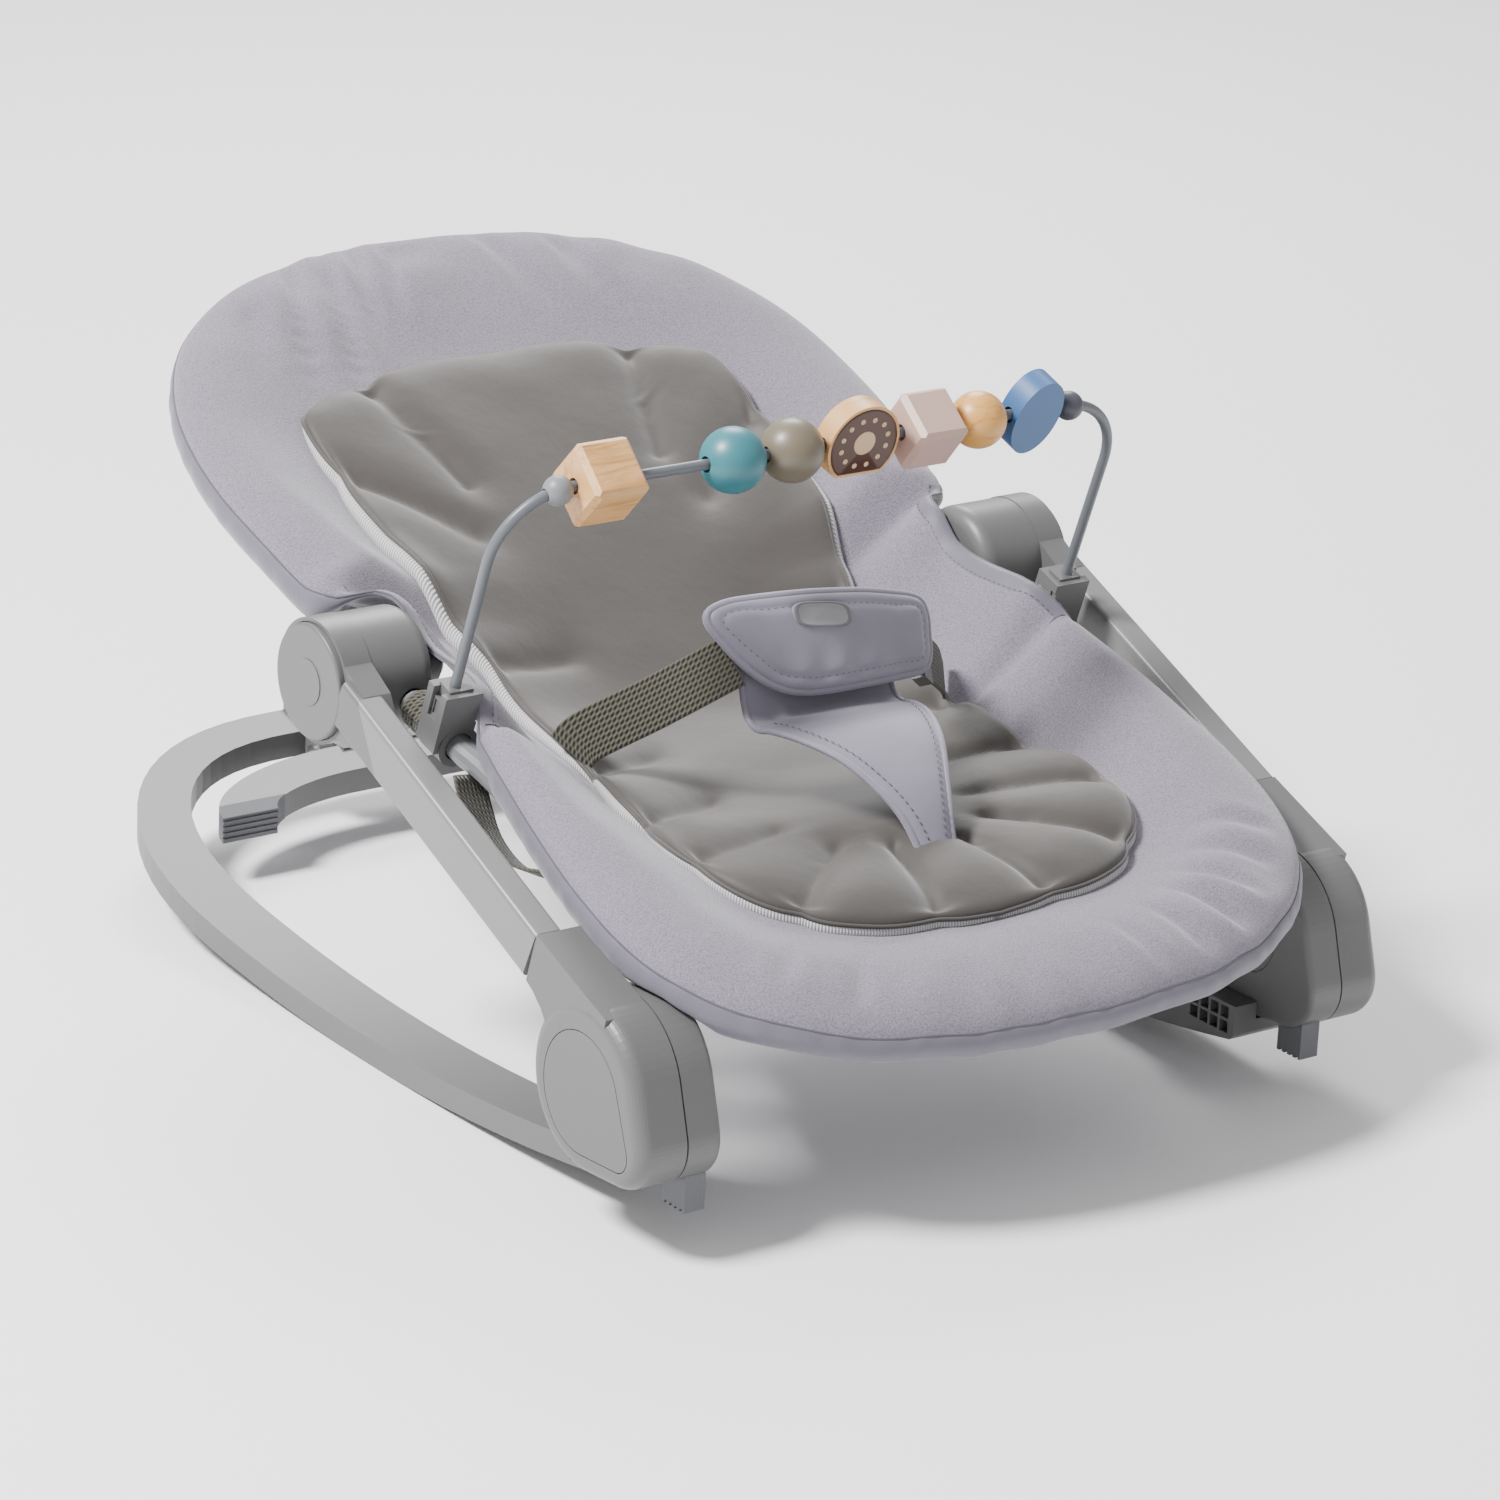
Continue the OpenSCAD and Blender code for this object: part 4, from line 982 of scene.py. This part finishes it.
def make_crotch():
    """Padded strap that widens from the seat up to the pad, with bound and stitched edges."""
    path = curve_through(CROTCH, CROTCH_ROWS)
    widening = ease(np.linspace(0, 1.404, CROTCH_ROWS), 0, 1)
    halves = CROTCH_NARROW + (CROTCH_WIDE - CROTCH_NARROW) * widening

    def puff(p, u):
        fold = 0.5 * np.sin(p[:, 1:2] / 6) * (1 - u[None, :] ** 2)
        return fold + 1.2 * (1 - np.abs(u[None, :]) ** 2.5)

    strap = ribbon("crotch_cloth", path, (1, 0, 0), halves, 4.4, PAD_SATIN, 1, 36, puff)
    p, d, n = strap_frame(path, (1, 0, 0))
    trim = []
    for sign in SIDE:
        edge = p + sign * halves[:, None] * d
        trim.append(tube("crotch_binding", edge, 1.9, PAD_SATIN, 8, 0.9, up=(0, -0.6, 0.8)))
        seam = p + sign * (halves - 6)[:, None] * d + n * 2.9
        trim.append(stitches("crotch_stitches", seam[4:46], n[4:46]))
    return strap, trim


STRAP_FROM, STRAP_TO = np.array([58, -88.5, 216.5]), np.array([112, -52, 178.0])
STRAP_UP = unit([0.35, 0.75, 0.9])


def make_lap_strap(sign):
    path = [
        STRAP_FROM + [-7, -2, 3], STRAP_FROM, (STRAP_FROM + STRAP_TO) / 2 - [0, 0, 0.6],
        STRAP_TO, STRAP_TO + [7, 4.5, -9],
    ]
    path, mirror = curve_through(path, 40), [sign, 1, 1]
    name = "lap_webbing_" + SIDE[sign]
    return ribbon(name, path * mirror, STRAP_UP * mirror, 13.5, 1.9, WEBBING, 0.25, 32)


SLEEVE_AT = np.array([190, -20.5, 193.1])
SLEEVE_SLOPE = math.radians(13.3)
SLEEVE_ALONG = np.array([0, -math.cos(SLEEVE_SLOPE), -math.sin(SLEEVE_SLOPE)])
# Turns of webbing on the tube: radius, and place along it.
SLEEVE_ROWS = [
    (7.4, -7), (9.4, -7.1), (10.2, -6.2), (10.2, -2.2), (9.5, -1.4), (9.9, -0.9), (10.3, 0.2),
    (10.2, 4), (9.5, 4.6), (9.9, 5.0), (10.1, 9.0), (9.4, 9.9), (7.4, 9.9),
]
SLEEVE_SIDES = 40


def make_sleeve(sign):
    """Webbing wound round the seat tube."""
    right, up = np.array([1, 0, 0]), np.cross([1, 0, 0], SLEEVE_ALONG)
    points, weave = [], []
    for radius, at in SLEEVE_ROWS:
        for a in full_turn(SLEEVE_SIDES):
            along = SLEEVE_ALONG * (at + 0.5 * math.sin(a))
            out = radius * (math.cos(a) * right + math.sin(a) * up)
            points.append((SLEEVE_AT + along + out) * [sign, 1, 1])
            weave.append([a * 9.8, at, 0])
    faces = loops_to_faces(len(SLEEVE_ROWS), SLEEVE_SIDES, True)
    obj = make_object("tube_wrap_" + SIDE[sign], points, faces, [WEBBING])
    set_weave(obj, weave)
    return obj


EDGE_LOOP = [
    (190, -62, 174), (191, -70, 162), (193, -84, 150), (193, -104, 142.5),
    (189.5, -124, 142), (184, -139, 144.5), (178, -150, 150),
]


def make_edge_webbing(sign):
    """Loop of webbing that hangs under the cover's edge."""
    path, across = curve_through(EDGE_LOOP, 36) * [sign, 1, 1], (sign, 0, 0.5)
    return ribbon("edge_loop_" + SIDE[sign], path, across, 11, 1.8, WEBBING, 0.25, 24)


# --- picture on the flat-bottomed disc ---------------------------------------------------------

BAR_LEAN, BAR_FOOT, BAR_REACH = math.radians(19), (-52, 215), 118
DISC_X, DISC_TURN = 19.9, math.radians(6)
FIELD_LOW, FIELD_TOP, DOT_TOP = 6.2, 6.45, 6.6  # heights over the disc's middle plane
FIELD_R, FIELD_FLOOR = 20.4, -15.4
DOTS, DOT_R, DOT_RING, HEART_R, RING_V = 12, 1.5, (14.4, 13.0), 6.6, 1.4


def make_picture():
    """Painted round field with a plain ring of dots, on the front of the flat-bottomed disc."""
    tilt = BAR_LEAN - DISC_TURN
    centre = np.array([
        DISC_X,
        BAR_FOOT[0] - BAR_REACH * math.sin(BAR_LEAN),
        BAR_FOOT[1] + BAR_REACH * math.cos(BAR_LEAN),
    ])
    right = np.array([1.0, 0, 0])
    out = np.array([0, -math.cos(tilt), -math.sin(tilt)])
    up = np.array([0, -math.sin(tilt), math.cos(tilt)])
    points, faces, kinds = [], [], []

    def spot(x, y, r, low, high, kind, count, floor=-99.0):
        first = len(points)
        for height, scale in ((low, 1.0), (high, 1.0), (high + 0.12, 0.93), (high + 0.12, 0.02)):
            for a in full_turn(count):
                u, v = x + r * scale * math.cos(a), max(floor, y + r * scale * math.sin(a))
                points.append(centre + right * u + up * v + out * height)
        for ring in range(3):
            for k in range(count):
                j = (k + 1) % count
                o = first + ring * count
                faces.append((o + k, o + j, o + count + j, o + count + k))
                kinds.append(kind)

    spot(0, 0, FIELD_R, FIELD_LOW, FIELD_TOP, 0, 72, FIELD_FLOOR)
    for a in full_turn(DOTS) + 0.26:
        x, y = DOT_RING[0] * math.cos(a), DOT_RING[1] * math.sin(a) + RING_V
        spot(x, y, DOT_R, FIELD_TOP, DOT_TOP, 1, 14)
    spot(0, RING_V, HEART_R, FIELD_TOP, DOT_TOP, 1, 36)
    obj = make_object("disc_picture", points, faces, [BROWN, CREAM])
    for polygon, kind in zip(obj.data.polygons, kinds):
        polygon.material_index = kind
    return obj


# --- floor -------------------------------------------------------------------------------------

FLOOR_HALF, FLOOR_Z = 40000, -0.4


def make_floor():
    material, _, _ = base_material("floor", "#f4f4f5", 0.9, specular=0.1)
    square = ((-1, -1), (1, -1), (1, 1), (-1, 1))
    corners = [(x * FLOOR_HALF, y * FLOOR_HALF, FLOOR_Z) for x, y in square]
    make_object("floor", corners, [(0, 1, 2, 3)], [material], smooth=False)


# --- build -------------------------------------------------------------------------------------


def over_hinge(piece):
    """A piece that runs across the recline hinge."""
    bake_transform(piece)


def on_seat(piece):
    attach(piece, "seat_frame")


make_camera()
make_lights()
make_floor()
paint_nodes()

cover, cover_edge = make_cover()
merge_and_subdivide(cover)
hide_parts("cover_seat", "cover_back")
over_hinge(cover)

edge_line = insert_outline()
edge_width = strip_width(edge_line)
edge_lift = edge_width * STRIP_LIFT
insert = make_insert(edge_line, edge_lift)
insert_edge = make_insert_edge(edge_line, edge_width, edge_lift)
insert_piping = make_insert_piping(edge_line, edge_lift)
merge_and_subdivide(insert)
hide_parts("insert_seat", "insert_back")
for piece in (insert, insert_edge, insert_piping):
    over_hinge(piece)

cover_seam = tube("cover_seam", cover_edge - [0, 0, 0.3], 0.75, THREAD, 6, closed=True)
over_hinge(cover_seam)
for make in (hip_seam, notch_stitches):
    for sign in (1, -1):
        over_hinge(make(sign))

pad, pad_binding, pad_stitches = make_pad()
merge_and_subdivide(pad)
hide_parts("lap_pad")
for piece in (pad, pad_binding, pad_stitches):
    on_seat(piece)

patch = make_patch()
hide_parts("lap_patch")
on_seat(patch)

crotch, crotch_trim = make_crotch()
merge_and_subdivide(crotch)
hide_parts("crotch_strap")
for piece in [crotch] + crotch_trim:
    on_seat(piece)

for sign, side in SIDE.items():
    strap = make_lap_strap(sign)
    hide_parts("lap_strap_" + side)
    sleeve = make_sleeve(sign)
    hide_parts("tube_webbing_" + side)
    loop = make_edge_webbing(sign)
    if side == "right":
        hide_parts("edge_webbing")  # the node holds both sides' webbing
    for piece in (strap, sleeve, loop):
        on_seat(piece)

picture = make_picture()
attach(picture, "turning_disc_picture")
